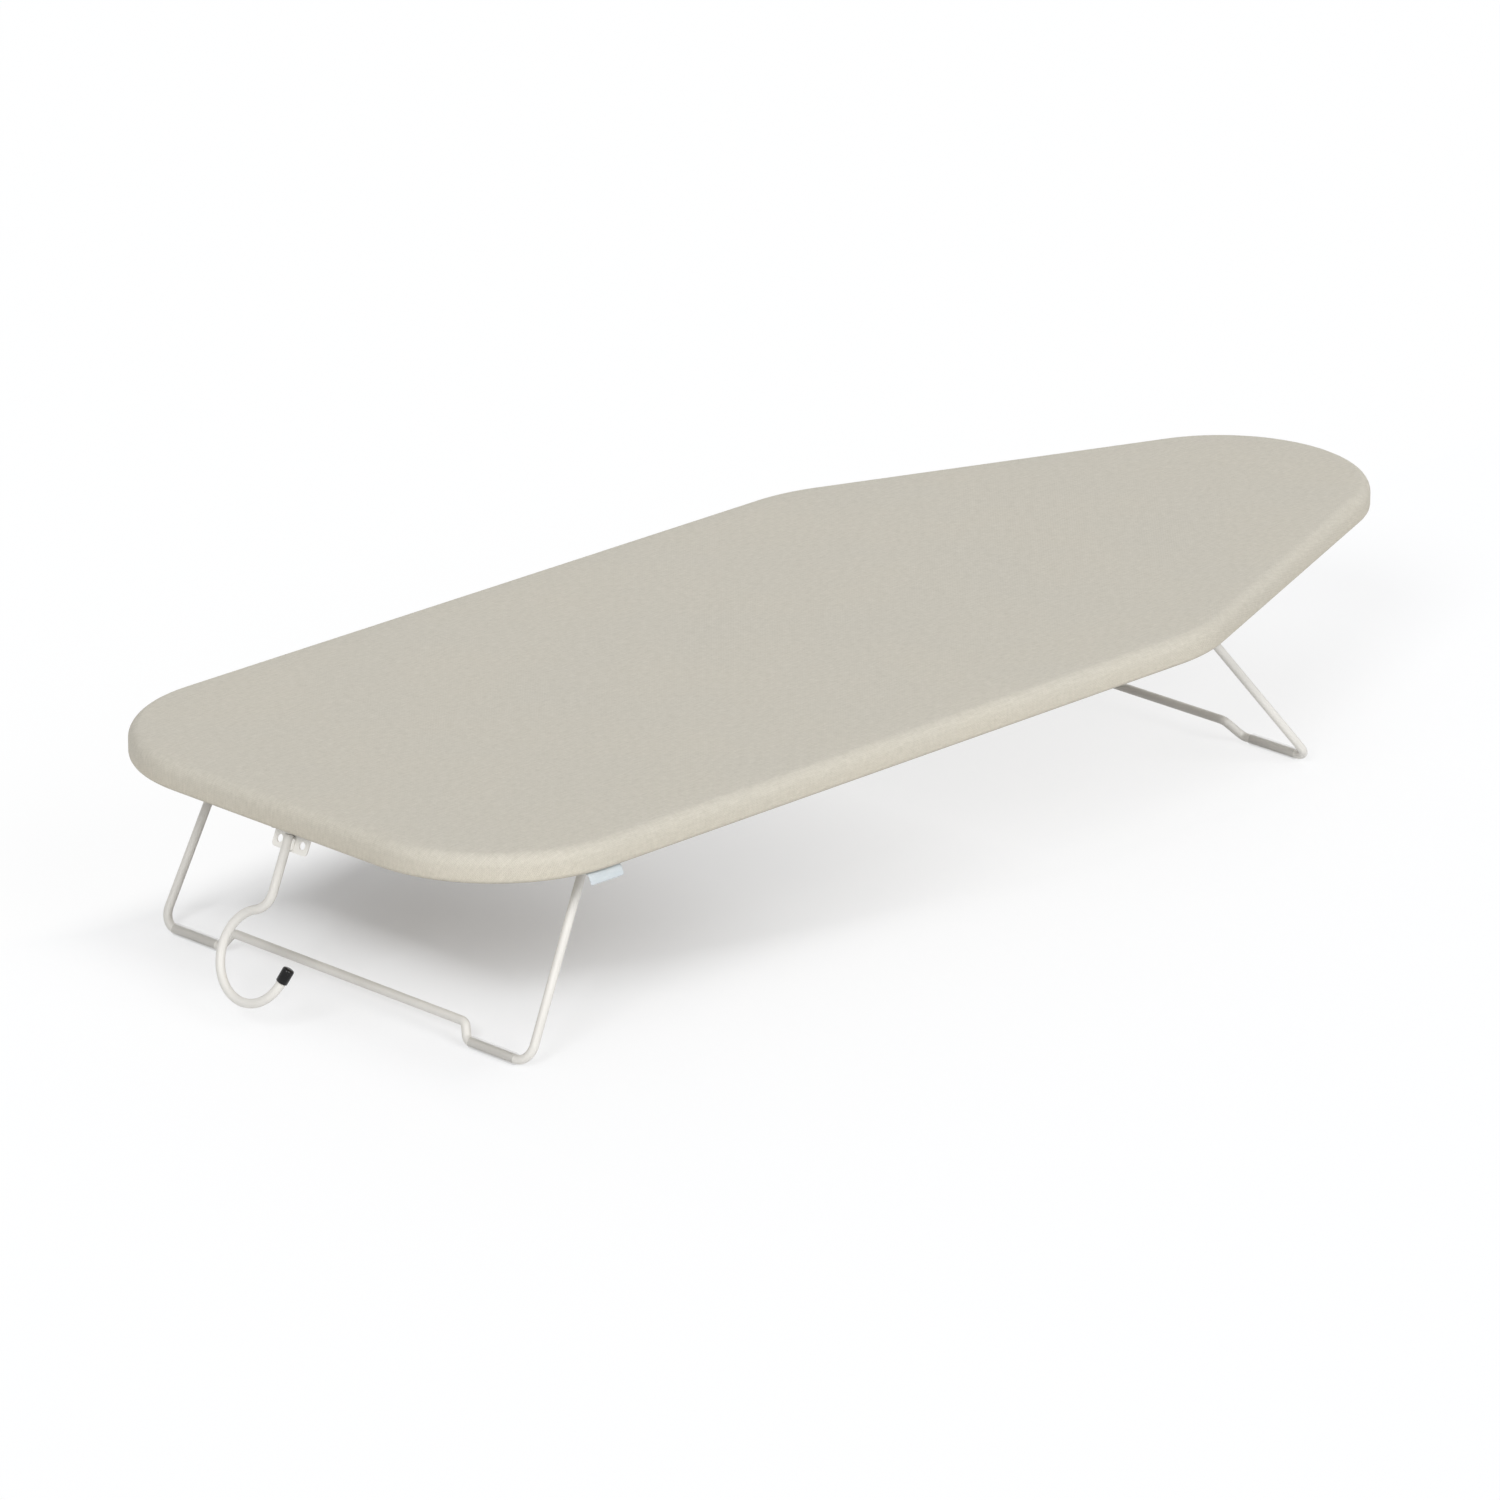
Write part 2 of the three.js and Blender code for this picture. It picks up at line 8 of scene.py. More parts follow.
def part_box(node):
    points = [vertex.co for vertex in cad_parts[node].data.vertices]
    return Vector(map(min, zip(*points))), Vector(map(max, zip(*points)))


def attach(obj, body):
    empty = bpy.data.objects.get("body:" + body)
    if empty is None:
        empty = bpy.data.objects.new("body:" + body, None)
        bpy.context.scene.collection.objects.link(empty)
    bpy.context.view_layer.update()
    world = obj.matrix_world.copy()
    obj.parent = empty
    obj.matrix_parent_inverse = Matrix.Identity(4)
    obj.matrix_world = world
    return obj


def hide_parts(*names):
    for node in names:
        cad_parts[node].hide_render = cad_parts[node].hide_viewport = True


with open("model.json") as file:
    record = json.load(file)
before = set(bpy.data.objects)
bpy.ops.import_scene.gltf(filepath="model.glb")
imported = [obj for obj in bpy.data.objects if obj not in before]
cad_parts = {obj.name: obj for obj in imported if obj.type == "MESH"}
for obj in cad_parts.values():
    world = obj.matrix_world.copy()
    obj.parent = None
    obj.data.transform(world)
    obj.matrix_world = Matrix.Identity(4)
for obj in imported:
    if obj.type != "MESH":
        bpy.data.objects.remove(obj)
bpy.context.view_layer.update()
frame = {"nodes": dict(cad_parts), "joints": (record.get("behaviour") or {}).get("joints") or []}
joints = {j["name"]: j for j in frame["joints"]}
scene = bpy.context.scene
scene.view_settings.view_transform = "Standard"
print("frame loaded")

# camera at the photograph's long-lens view of the heel corner
shot = {
    "target": (-0.1229, -0.0836, 0.0985), "azimuth": -45.08, "elevation": 20.33, "distance": 4.956,
    "lens": 246.96, "sensor": 36, "far": 200,
}
cameraData = bpy.data.cameras.new("shot")
camera = bpy.data.objects.new("shot", cameraData)
scene.collection.objects.link(camera)
turn, rise = math.radians(shot["azimuth"]), math.radians(shot["elevation"])
towards = Vector((math.sin(turn) * math.cos(rise), -math.cos(turn) * math.cos(rise), math.sin(rise)))
camera.location = Vector(shot["target"]) + towards * shot["distance"]
camera.rotation_euler = (-towards).to_track_quat("-Z", "Y").to_euler()
cameraData.lens = shot["lens"]
cameraData.sensor_width = shot["sensor"]
cameraData.clip_end = shot["far"]
scene.camera = camera
print("camera set")


# shader helpers: a value or a link goes into a socket, and the nodes that are used often
def addNode(tree, kind, **values):
    node = tree.nodes.new(kind)
    for key, value in values.items():
        setattr(node, key, value)
    return node


def feed(tree, socket, value):
    if isinstance(value, bpy.types.NodeSocket):
        tree.links.new(value, socket)
    else:
        socket.default_value = value


def mathNode(tree, operation, *values):
    node = addNode(tree, "ShaderNodeMath", operation=operation)
    for socket, value in zip(node.inputs, values):
        feed(tree, socket, value)
    return node.outputs[0]


def noise(tree, place, scale, detail=2.0, roughness=0.5):
    node = addNode(tree, "ShaderNodeTexNoise")
    for label, value in (("Vector", place), ("Scale", scale), ("Detail", detail), ("Roughness", roughness)):
        feed(tree, node.inputs[label], value)
    return node


def multiplied(tree, a, b, share=1.0):
    node = addNode(tree, "ShaderNodeMix", data_type="RGBA", blend_type="MULTIPLY")
    node.inputs["Factor"].default_value = share
    tree.links.new(a, node.inputs[6])  # a mix node's colours are inputs 6 and 7, and output 2
    tree.links.new(b, node.inputs[7])
    return node.outputs[2]


def ramp(tree, factor, stops):
    node = addNode(tree, "ShaderNodeValToRGB")
    for i, (place, colour) in enumerate(stops):
        if i < 2:  # a new ramp has two stops
            stop = node.color_ramp.elements[i]
            stop.position = place
        else:
            stop = node.color_ramp.elements.new(place)
        stop.color = (*colour, 1)
    tree.links.new(factor, node.inputs["Fac"])
    return node.outputs["Color"]


def newGroup(name, inputs, outputs):
    group = bpy.data.node_groups.new(name, "ShaderNodeTree")
    group.interface.new_socket(name="Vector", in_out="INPUT", socket_type="NodeSocketVector")
    for label, value in inputs.items():
        socket = group.interface.new_socket(name=label, in_out="INPUT", socket_type="NodeSocketFloat")
        socket.default_value = value
    for label in outputs:
        group.interface.new_socket(name=label, in_out="OUTPUT", socket_type="NodeSocketFloat")
    return group, addNode(group, "NodeGroupInput"), addNode(group, "NodeGroupOutput")


def useGroup(tree, group, **values):
    node = addNode(tree, "ShaderNodeGroup", node_tree=group)
    for label, value in values.items():
        feed(tree, node.inputs[label], value)
    return node


def newMaterial(name):
    material = bpy.data.materials.new(name)
    material.use_nodes = True
    tree = material.node_tree
    return material, tree, tree.nodes["Principled BSDF"]


def objectPlace(tree):
    return addNode(tree, "ShaderNodeTexCoord").outputs["Object"]


def setInputs(node, values):
    for label, value in values.items():
        node.inputs[label].default_value = value


def roughFrom(tree, shader, value, gain, base):
    tree.links.new(mathNode(tree, "MULTIPLY_ADD", value, gain, base), shader.inputs["Roughness"])


def bumpFrom(tree, shader, height, distance, strength):
    bump = addNode(tree, "ShaderNodeBump")
    setInputs(bump, {"Strength": strength, "Distance": distance})
    tree.links.new(height, bump.inputs["Height"])
    tree.links.new(bump.outputs["Normal"], shader.inputs["Normal"])


# plain weave: warp and weft threads pass over each other, with slubs and uneven yarn
def makeWeaveGroup():
    shape = {
        "wobbleScale": 260, "wobble": 0.0009, "crossing": 0.35,
        "slubNoise": (3.2, 4, 0.62),  # scale, detail and roughness
        "slubs": (((55, 250, 60), 0.6), ((210, 65, 60), 0.4)),  # stretch and share of each thread direction
    }
    inputs, outputs = {"Pitch": 0.0008, "Slub": 0.5}, ("Height", "Thread", "Slubs")
    group, start, end = newGroup("threadWeave", inputs, outputs)
    place = start.outputs["Vector"]
    split = addNode(group, "ShaderNodeSeparateXYZ")
    group.links.new(place, split.inputs["Vector"])
    wobble = noise(group, place, shape["wobbleScale"]).outputs["Fac"]
    sway = mathNode(group, "MULTIPLY", mathNode(group, "SUBTRACT", wobble, 0.5), shape["wobble"])
    waves = []
    for axis in ("X", "Y"):
        swayed = mathNode(group, "ADD", split.outputs[axis], sway)
        cycle = mathNode(group, "DIVIDE", swayed, start.outputs["Pitch"])
        waves.append(mathNode(group, "SINE", mathNode(group, "MULTIPLY", cycle, math.pi)))
    threads = mathNode(group, "MAXIMUM", *(mathNode(group, "ABSOLUTE", wave) for wave in waves))
    crossing = mathNode(
        group, "MULTIPLY_ADD", mathNode(group, "MULTIPLY", *waves), shape["crossing"], shape["crossing"]
    )
    slub = 0.0
    for stretch, share in shape["slubs"]:
        mapping = addNode(group, "ShaderNodeMapping")
        mapping.inputs["Scale"].default_value = stretch
        group.links.new(place, mapping.inputs["Vector"])
        streak = noise(group, mapping.outputs["Vector"], *shape["slubNoise"])
        slub = mathNode(group, "MULTIPLY_ADD", streak.outputs["Fac"], share, slub)
    raised = mathNode(group, "MULTIPLY", mathNode(group, "SUBTRACT", slub, 0.5), start.outputs["Slub"])
    height = mathNode(group, "MULTIPLY_ADD", mathNode(group, "ADD", threads, crossing), 0.5, raised)
    for label, value in (("Height", height), ("Thread", threads), ("Slubs", slub)):
        group.links.new(value, end.inputs[label])
    return group


# speckle: fine grain and broad drift
def makeSpeckleGroup():
    group, start, end = newGroup("surfaceSpeckle", {"Fine": 900.0, "Broad": 18.0}, ("Grain", "Drift"))
    for label, scaleFrom, detail in (("Grain", "Fine", 3), ("Drift", "Broad", 4)):
        speckle = noise(group, start.outputs["Vector"], start.outputs[scaleFrom], detail)
        group.links.new(speckle.outputs["Fac"], end.inputs[label])
    return group


weaveGroup = makeWeaveGroup()
speckleGroup = makeSpeckleGroup()

# woven cloth: matt, with cloth coordinates in metres in its own map, warmer on the walls, darkened towards
# the lower edge and on the hem as a painted shade, with painted shade in the gaps between threads
clothFinish = {
    "slubStops": (0.36, 0.66), "driftStops": (0.35, 0.65), "gapStops": (0.2, 0.75), "wallEnd": 0.84,
    "roughGain": 0.15, "roughBase": 0.82, "bump": 0.8, "driftDetail": 3,
    "specular": 0.25, "sheenRough": 0.45, "sheenTint": (1, 0.97, 0.92, 1),
}


def makeClothMaterial(name, look):
    finish, white = clothFinish, (1, 1, 1)
    material, tree, shader = newMaterial(name)
    cloth = addNode(tree, "ShaderNodeUVMap", uv_map="cloth").outputs["UV"]
    weave = useGroup(tree, weaveGroup, Vector=cloth, Pitch=look["pitch"], Slub=look["slub"])
    broad = noise(tree, cloth, look["driftScale"], finish["driftDetail"])
    wall = addNode(tree, "ShaderNodeAttribute", attribute_name="edge")
    # the lower colour is the wall tint darkened: a painted shade at the lower edge and on the hem
    lower = tuple(c * look["lower"] for c in look["handled"])
    yarn = ramp(tree, weave.outputs["Slubs"], zip(finish["slubStops"], (look["dark"], look["light"])))
    drift = ramp(tree, broad.outputs["Fac"], zip(finish["driftStops"], (look["warm"], look["cool"])))
    # warmer down the walls, then darker towards the lower edge and on the hem, a painted shade
    handled = ramp(tree, wall.outputs["Fac"], [(0, white), (finish["wallEnd"], look["handled"]), (1, lower)])
    # darker in the gaps between threads: a painted shade
    gapShade = ramp(tree, weave.outputs["Thread"], zip(finish["gapStops"], ((look["gap"],) * 3, white)))
    colour = yarn
    for layer in (drift, handled, gapShade):
        colour = multiplied(tree, colour, layer)
    tree.links.new(colour, shader.inputs["Base Color"])
    roughFrom(tree, shader, weave.outputs["Slubs"], finish["roughGain"], finish["roughBase"])
    setInputs(shader, {
        "Specular IOR Level": finish["specular"], "Sheen Weight": look["sheen"],
        "Sheen Roughness": finish["sheenRough"], "Sheen Tint": finish["sheenTint"],
    })
    bumpFrom(tree, shader, weave.outputs["Height"], look["relief"], finish["bump"])
    return material


# the walls' warmer tint, its darker share at the lower edge and on the hem (a painted shade), and the grey in
# the gaps between threads (a painted shade)
coverLook = {
    "pitch": 0.00085, "slub": 0.8, "driftScale": 14, "sheen": 0.12, "relief": 0.0002, "gap": 0.82,
    "dark": (0.500, 0.476, 0.416), "light": (0.588, 0.561, 0.498),
    "warm": (1.0, 0.992, 0.975), "cool": (0.985, 0.983, 0.975), "handled": (1.0, 0.985, 0.955), "lower": 0.86,
}
tagLook = {
    "pitch": 0.00042, "slub": 0.2, "driftScale": 60, "sheen": 0.25, "relief": 0.0001, "gap": 0.9,
    "dark": (0.52, 0.565, 0.585), "light": (0.58, 0.62, 0.64),
    "warm": (1, 1, 1), "cool": (0.97, 0.985, 1), "handled": (1, 1, 1), "lower": 1.0,
}
coverCloth = makeClothMaterial("wovenCover", coverLook)
tagCloth = makeClothMaterial("tagTape", tagLook)


# a speckled surface: its colour stops follow the drift
# rough holds the source, gain and base of the roughness, bump the depth and strength of the grain
def makeSpeckled(name, look):
    material, tree, shader = newMaterial(name)
    speckle = useGroup(tree, speckleGroup, Vector=objectPlace(tree), Fine=look["fine"], Broad=look["broad"])
    tree.links.new(ramp(tree, speckle.outputs["Drift"], look["stops"]), shader.inputs["Base Color"])
    source, gain, base = look["rough"]
    roughFrom(tree, shader, speckle.outputs[source], gain, base)
    setInputs(shader, look.get("sockets", {}))
    if "bump" in look:
        bumpFrom(tree, shader, speckle.outputs["Grain"], *look["bump"])
    return material


# powder coat: satin warm white with a fine orange peel, and a lighter copy on the hook's plate, painted light
# where the board shades it
def coatLook(dark, light):
    return {
        "fine": 1300.0, "broad": 26.0, "stops": [(0.35, dark), (0.62, light)],
        "rough": ("Drift", 0.16, 0.38), "bump": (0.00005, 0.5),
    }


# bare metal: grey steel with a faint yellowish bloom
def metalLook(base, roughness):
    bloom = tuple(c * f for c, f in zip(base, (0.9, 0.87, 0.8)))
    return {
        "fine": 1500.0, "broad": 160.0, "stops": [(0.4, base), (0.75, bloom)],
        "rough": ("Grain", 0.2, roughness), "sockets": {"Metallic": 1}, "bump": (0.00002, 0.4),
    }


# soft clear-grey vinyl tube, and a black rubber cap dulled by handling
vinylLook = {
    "fine": 700.0, "broad": 90.0, "stops": [(0.35, (0.39, 0.38, 0.36)), (0.65, (0.44, 0.43, 0.405))],
    "rough": ("Grain", 0.2, 0.18), "sockets": {"Alpha": 0.12, "IOR": 1.5},
}
rubberLook = {
    "fine": 1600.0, "broad": 220.0, "stops": [(0.4, (0.004, 0.004, 0.0045)), (0.75, (0.011, 0.011, 0.0115))],
    "rough": ("Grain", 0.15, 0.13), "sockets": {"Specular IOR Level": 0.25}, "bump": (0.00002, 0.25),
}


# fibreboard: pressed wood fibre, short pale and dark flecks lying every way
def makeFibreMaterial():
    look = {
        "pale": (0.45, 0.40, 0.325), "dark": (0.295, 0.255, 0.20),
        "fleck": (0.62, 0.58, 0.54), "fleckShare": 0.55,
        "fine": 760.0, "broad": 22.0, "bendScale": 55, "bend": 0.03, "fibreScale": 380,
        "grainStops": (0.3, 0.68), "fleckStops": (0.0, 0.12), "rough": (0.2, 0.6), "bump": (0.00012, 0.5),
    }
    material, tree, shader = newMaterial("fibreboard")
    place = objectPlace(tree)
    speckle = useGroup(tree, speckleGroup, Vector=place, Fine=look["fine"], Broad=look["broad"])
    bent = addNode(tree, "ShaderNodeMix", data_type="VECTOR")
    bent.inputs["Factor"].default_value = look["bend"]
    tree.links.new(place, bent.inputs[4])  # its vectors are inputs 4 and 5, and output 1
    tree.links.new(noise(tree, place, look["bendScale"]).outputs["Color"], bent.inputs[5])
    fibre = addNode(tree, "ShaderNodeTexVoronoi", feature="DISTANCE_TO_EDGE")
    fibre.inputs["Scale"].default_value = look["fibreScale"]
    tree.links.new(bent.outputs[1], fibre.inputs["Vector"])
    base = ramp(tree, speckle.outputs["Grain"], zip(look["grainStops"], (look["dark"], look["pale"])))
    flecks = ramp(tree, fibre.outputs["Distance"], zip(look["fleckStops"], (look["fleck"], (1, 1, 1))))
    tree.links.new(multiplied(tree, base, flecks, look["fleckShare"]), shader.inputs["Base Color"])
    roughFrom(tree, shader, speckle.outputs["Drift"], *look["rough"])
    bumpFrom(tree, shader, speckle.outputs["Grain"], *look["bump"])
    return material


# open-cell foam: off-white, with painted shade in its small pores
def makeFoamMaterial():
    look = {
        "poreScale": 900, "roughness": 0.95, "bump": (0.0003, 0.6),
        "stops": [(0.1, (0.6, 0.58, 0.5)), (0.5, (0.78, 0.76, 0.69))],
    }
    material, tree, shader = newMaterial("padFoam")
    pores = addNode(tree, "ShaderNodeTexVoronoi")
    pores.inputs["Scale"].default_value = look["poreScale"]
    tree.links.new(objectPlace(tree), pores.inputs["Vector"])
    tree.links.new(ramp(tree, pores.outputs["Distance"], look["stops"]), shader.inputs["Base Color"])
    shader.inputs["Roughness"].default_value = look["roughness"]
    bumpFrom(tree, shader, pores.outputs["Distance"], *look["bump"])
    return material


powderCoat = makeSpeckled("powderCoat", coatLook((0.64, 0.625, 0.59), (0.685, 0.67, 0.634)))
# a lighter copy of the coat for the hook's plate and welds: painted light where they sit in the board's shade
plateCoat = makeSpeckled("plateCoat", coatLook((0.80, 0.785, 0.745), (0.85, 0.835, 0.795)))
clearVinyl = makeSpeckled("clearVinyl", vinylLook)
capRubber = makeSpeckled("capRubber", rubberLook)
zincPlate = makeSpeckled("zincPlate", metalLook((0.62, 0.63, 0.64), 0.24))
stapleSteel = makeSpeckled("stapleSteel", metalLook((0.24, 0.24, 0.245), 0.3))
fibreboard = makeFibreMaterial()
padFoam = makeFoamMaterial()
print("materials made")


# piece helpers
def makePiece(name, bm, material, body, sharp=40.0, nodes=()):
    bmesh.ops.recalc_face_normals(bm, faces=bm.faces)
    mesh = bpy.data.meshes.new(name)
    for face in bm.faces:
        face.smooth = True
    bm.to_mesh(mesh)
    bm.free()
    mesh.materials.append(material)
    mesh.set_sharp_from_angle(angle=math.radians(sharp))
    piece = bpy.data.objects.new(name, mesh)
    scene.collection.objects.link(piece)
    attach(piece, body)
    if nodes:
        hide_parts(*nodes)
    return piece


def addBevel(piece, width, angle=30.0, limit="ANGLE"):
    bevel = piece.modifiers.new("edgeRound", "BEVEL")
    bevel.width = width
    bevel.segments = 2
    bevel.limit_method = limit
    bevel.angle_limit = math.radians(angle)
    bevel.profile = 0.5
    bevel.harden_normals = True


def addThickness(piece, name, thickness, offset):
    thick = piece.modifiers.new(name, "SOLIDIFY")
    thick.thickness = thickness
    thick.offset = offset


def roundEdges(bm, edges, radius, segments):
    bmesh.ops.bevel(
        bm, geom=edges, offset=radius, offset_type="OFFSET", segments=segments, profile=0.5,
        affect="EDGES", material=-1,
    )


def onlyVerts(geometry):
    return [g for g in geometry if isinstance(g, bmesh.types.BMVert)]


def onlyEdges(geometry):
    return [g for g in geometry if isinstance(g, bmesh.types.BMEdge)]


# a round wire: a ring of edges is pushed along straight runs and spun round each bend, in its own plane
def sweepWire(radius, sides, start, heading, moves):
    bm = bmesh.new()
    place, way = Vector(start), Vector(heading).normalized()
    stand = Matrix.Translation(place) @ way.to_track_quat("Z", "Y").to_matrix().to_4x4()
    made = bmesh.ops.create_circle(bm, cap_ends=True, radius=radius, segments=sides, matrix=stand)
    ring = [e for e in bm.edges]
    ringVerts = made["verts"]
    for move in moves:
        if move[0] == "run":
            grown = bmesh.ops.extrude_edge_only(bm, edges=ring)["geom"]
            ringVerts = onlyVerts(grown)
            bmesh.ops.translate(bm, vec=way * move[1], verts=ringVerts)
            place = place + way * move[1]
            ring = [e for e in onlyEdges(grown) if all(v in ringVerts for v in e.verts)]
        else:
            bendRadius, degrees, steps = move[1:]
            side = math.copysign(1, degrees)
            centre = place + Vector((-way.y, way.x, 0)) * bendRadius * side
            angle = math.radians(degrees)
            spun = bmesh.ops.spin(
                bm, geom=ring + ringVerts, cent=centre, axis=(0, 0, 1), angle=angle, steps=steps
            )["geom_last"]
            ringVerts, ring = onlyVerts(spun), onlyEdges(spun)
            swing = Matrix.Rotation(angle, 3, "Z")
            place = centre + swing @ (place - centre)
            way = swing @ way
    bmesh.ops.edgeloop_fill(bm, edges=ring)
    return bm


# corners with bend radii, turned into runs and bends
bendStep = {"degrees": 6, "least": 6}


def movesThrough(corners):
    points = [Vector((*at, 0)) for at, _ in corners]
    moves, used = [], 0.0
    for i in range(1, len(points)):
        way = points[i] - points[i - 1]
        if i == len(points) - 1:
            moves.append(("run", way.length - used))
            break
        onward = points[i + 1] - points[i]
        angle = math.atan2(way.x * onward.y - way.y * onward.x, way.dot(onward))
        tangent = corners[i][1] * math.tan(abs(angle) / 2)
        steps = max(bendStep["least"], round(abs(math.degrees(angle)) / bendStep["degrees"]))
        moves.append(("run", way.length - used - tangent))
        moves.append(("bend", corners[i][1], math.degrees(angle), steps))
        used = tangent
    return points[0], points[1] - points[0], moves


# a wire drawn flat is stood in the plane of the board's width and the given downward direction
across = Vector((0, 1, 0))
wireEnd = {"width": 0.0003, "angle": 60.0}


def layWire(bm, origin, down):
    plane = Matrix((across, down, across.cross(down))).transposed().to_4x4()
    bmesh.ops.transform(bm, matrix=Matrix.Translation(origin) @ plane, verts=bm.verts)


# a turned piece: a profile of (radius, along) points spun round an axis
def turnProfile(profile, sides, closed):
    bm = bmesh.new()
    verts = [bm.verts.new((r, 0, z)) for r, z in profile]
    for a, b in zip(verts, verts[1:] + verts[:1] if closed else verts[1:]):
        bm.edges.new((a, b))
    bmesh.ops.spin(
        bm, geom=bm.verts[:] + bm.edges[:], cent=(0, 0, 0), axis=(0, 0, 1), angle=math.tau, steps=sides,
        use_merge=True,
    )
    bmesh.ops.remove_doubles(bm, verts=bm.verts, dist=1e-6)
    return bm


# three points round a turned edge, from its end face to its side, inward being the sign into the piece
def rolledEdge(radius, end, inward, roll):
    cut = roll * 0.3  # a quarter round's depth at its middle
    return [(radius - roll, end), (radius - cut, end + inward * cut), (radius, end + inward * roll)]


def placeMesh(bm, at, along):
    turned = Vector(along).normalized().to_track_quat("Z", "Y").to_matrix().to_4x4()
    bmesh.ops.transform(bm, matrix=Matrix.Translation(Vector(at)) @ turned, verts=bm.verts)
    return bm


# the board's outline: three kinds of arc, spun from single points and joined by straight edges
coverLow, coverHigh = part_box("cover")
board = {
    "length": 0.74, "width": 0.30, "heelRadius": 0.078, "taper": 0.2495, "shoulderRadius": 0.097,
    "noseRadius": 0.0745, "middle": (coverLow.x + coverHigh.x) / 2,
    "arcStep": 2.4, "leastSteps": 4, "sideStep": 0.022,
}
level = 1e-5  # points closer than this lie at one height
halfLength, halfWidth = board["length"] / 2, board["width"] / 2
noseX = halfLength - board["noseRadius"]
shoulderX = halfLength - board["taper"]
slant = math.hypot(halfWidth, noseX - shoulderX)
taper = math.atan2(halfWidth, noseX - shoulderX) - math.asin(board["noseRadius"] / slant)
heelX, heelY = board["heelRadius"] - halfLength, halfWidth - board["heelRadius"]
bendX = shoulderX - board["shoulderRadius"] * math.tan(taper / 2)
bendY = halfWidth - board["shoulderRadius"]


def outlineFace(bm, inset, height):
    quarter = math.pi / 2
    arcs = [
        (heelX, -heelY, board["heelRadius"], math.pi, quarter),
        (bendX, -bendY, board["shoulderRadius"], 3 * quarter, taper),
        (noseX, 0, board["noseRadius"], taper - quarter, math.pi - 2 * taper),
        (bendX, bendY, board["shoulderRadius"], quarter - taper, taper),
        (heelX, heelY, board["heelRadius"], quarter, quarter),
    ]
    ends = []
    for x, y, radius, begin, sweep in arcs:
        centre = Vector((x + board["middle"], y, height))
        reach = radius - inset
        first = bm.verts.new(centre + Vector((math.cos(begin), math.sin(begin), 0)) * reach)
        steps = max(board["leastSteps"], round(math.degrees(sweep) / board["arcStep"]))
        spun = bmesh.ops.spin(bm, geom=[first], cent=centre, axis=(0, 0, 1), angle=sweep, steps=steps)
        ends.append((first, onlyVerts(spun["geom_last"])[0]))
    for (_, last), (first, _) in zip(ends, ends[1:] + ends[:1]):
        bm.edges.new((last, first))
    sides = [e for e in bm.edges if e.calc_length() > board["sideStep"]]
    while sides:
        bmesh.ops.subdivide_edges(bm, edges=sides, cuts=1)
        sides = [e for e in bm.edges if e.calc_length() > board["sideStep"]]
    return bmesh.ops.contextual_create(bm, geom=bm.edges[:])["faces"][0]


def makeSlab(inset, low, high):
    bm = bmesh.new()
    under = outlineFace(bm, inset, low)
    grown = bmesh.ops.extrude_face_region(bm, geom=[under], use_keep_orig=True)["geom"]
    bmesh.ops.translate(bm, vec=(0, 0, high - low), verts=onlyVerts(grown))
    bm.normal_update()
    return bm


def liesFlat(face):
    return abs(face.normal.z) > 0.5


# the slab's edges at a height, between a flat face and a wall
def rimEdges(bm, height):
    found = []
    for edge in bm.edges:
        if len(edge.link_faces) == 2 and all(abs(v.co.z - height) < level for v in edge.verts):
            flat = [liesFlat(f) for f in edge.link_faces]
            if flat[0] != flat[1]:
                found.append(edge)
    return found


# outward direction of the nearest edge, and the distance inside it
def edgeAt(x, y):
    side = math.copysign(1, y)
    beside = abs(y)
    if x < heelX and beside <= heelY:
        return Vector((-1, 0)), x + halfLength
    if x < heelX:
        away = Vector((x - heelX, beside - heelY))
        inset = board["heelRadius"] - away.length
    else:
        lean = math.atan2(x - bendX, max(1e-9, beside - bendY))
        away = Vector((x - noseX, beside))
        if lean <= 0:
            return Vector((0, side)), halfWidth - beside
        if lean < taper:
            away = Vector((x - bendX, beside - bendY))
            inset = board["shoulderRadius"] - away.length
        elif away.dot(Vector((math.cos(taper), -math.sin(taper)))) < 0:
            away = Vector((math.sin(taper), math.cos(taper)))
            inset = board["noseRadius"] - Vector((x - noseX, beside)).dot(away)
        else:
            inset = board["noseRadius"] - away.length
    away.normalize()
    return Vector((away.x, away.y * side)), inset


# pad: thin foam sheet with a rolled upper edge, under the cover
def makePad():
    padLow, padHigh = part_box("pad")
    size = {"inset": 0.00133, "round": 0.0034, "crown": 0.0004, "steps": 5}
    rimZ = padHigh.z - size["crown"]
    bm = makeSlab(size["inset"], padLow.z, rimZ)
    roundEdges(bm, rimEdges(bm, rimZ), size["round"], size["steps"])
    pad = makePiece("padFoamSheet", bm, padFoam, "board", sharp=40.0, nodes=["pad"])
    print("pad made")


# cover: pulled over the rounded edge and turned under as a hem, gathered at the corners
coverSize = {
    "topRound": 0.006, "bottomRound": 0.0025, "topSteps": 8, "bottomSteps": 4,
    "crown": 0.0004, "hem": 0.020, "cloth": 0.0009, "gather": 0.0013, "cutShare": 0.872,
    "crownRings": ((0.018, 0.45), (0.018, 0.35), (0.018, 0.2)),  # width, and share of the crown
    "hemRings": (0.006, 0.006, 0.008),
    "ripples": ((27, 1.0, 0.0), (41, 0.6, 1.7)),  # waves in a full turn, height and shift
}


# place of a point of the cover on the flat cloth
def clothPlace(co, size, rimZ, lowZ):
    x, y = co.x - board["middle"], co.y
    out, inset = edgeAt(x, y)
    r, b = size["topRound"], size["bottomRound"]
    wall = rimZ - lowZ - r - b
    if co.z > rimZ - r and inset >= r:
        return Vector((x, y))
    if co.z > rimZ - r:
        down = r * math.atan2(r - inset, co.z - rimZ + r)
    elif co.z > lowZ + b:
        down = r * math.pi / 2 + rimZ - r - co.z
    elif inset < b:
        down = r * math.pi / 2 + wall + b * math.atan2(lowZ + b - co.z, b - inset)
    else:
        down = (r + b) * math.pi / 2 + wall + inset - b
    return Vector((x, y)) + out * (inset - r + down)


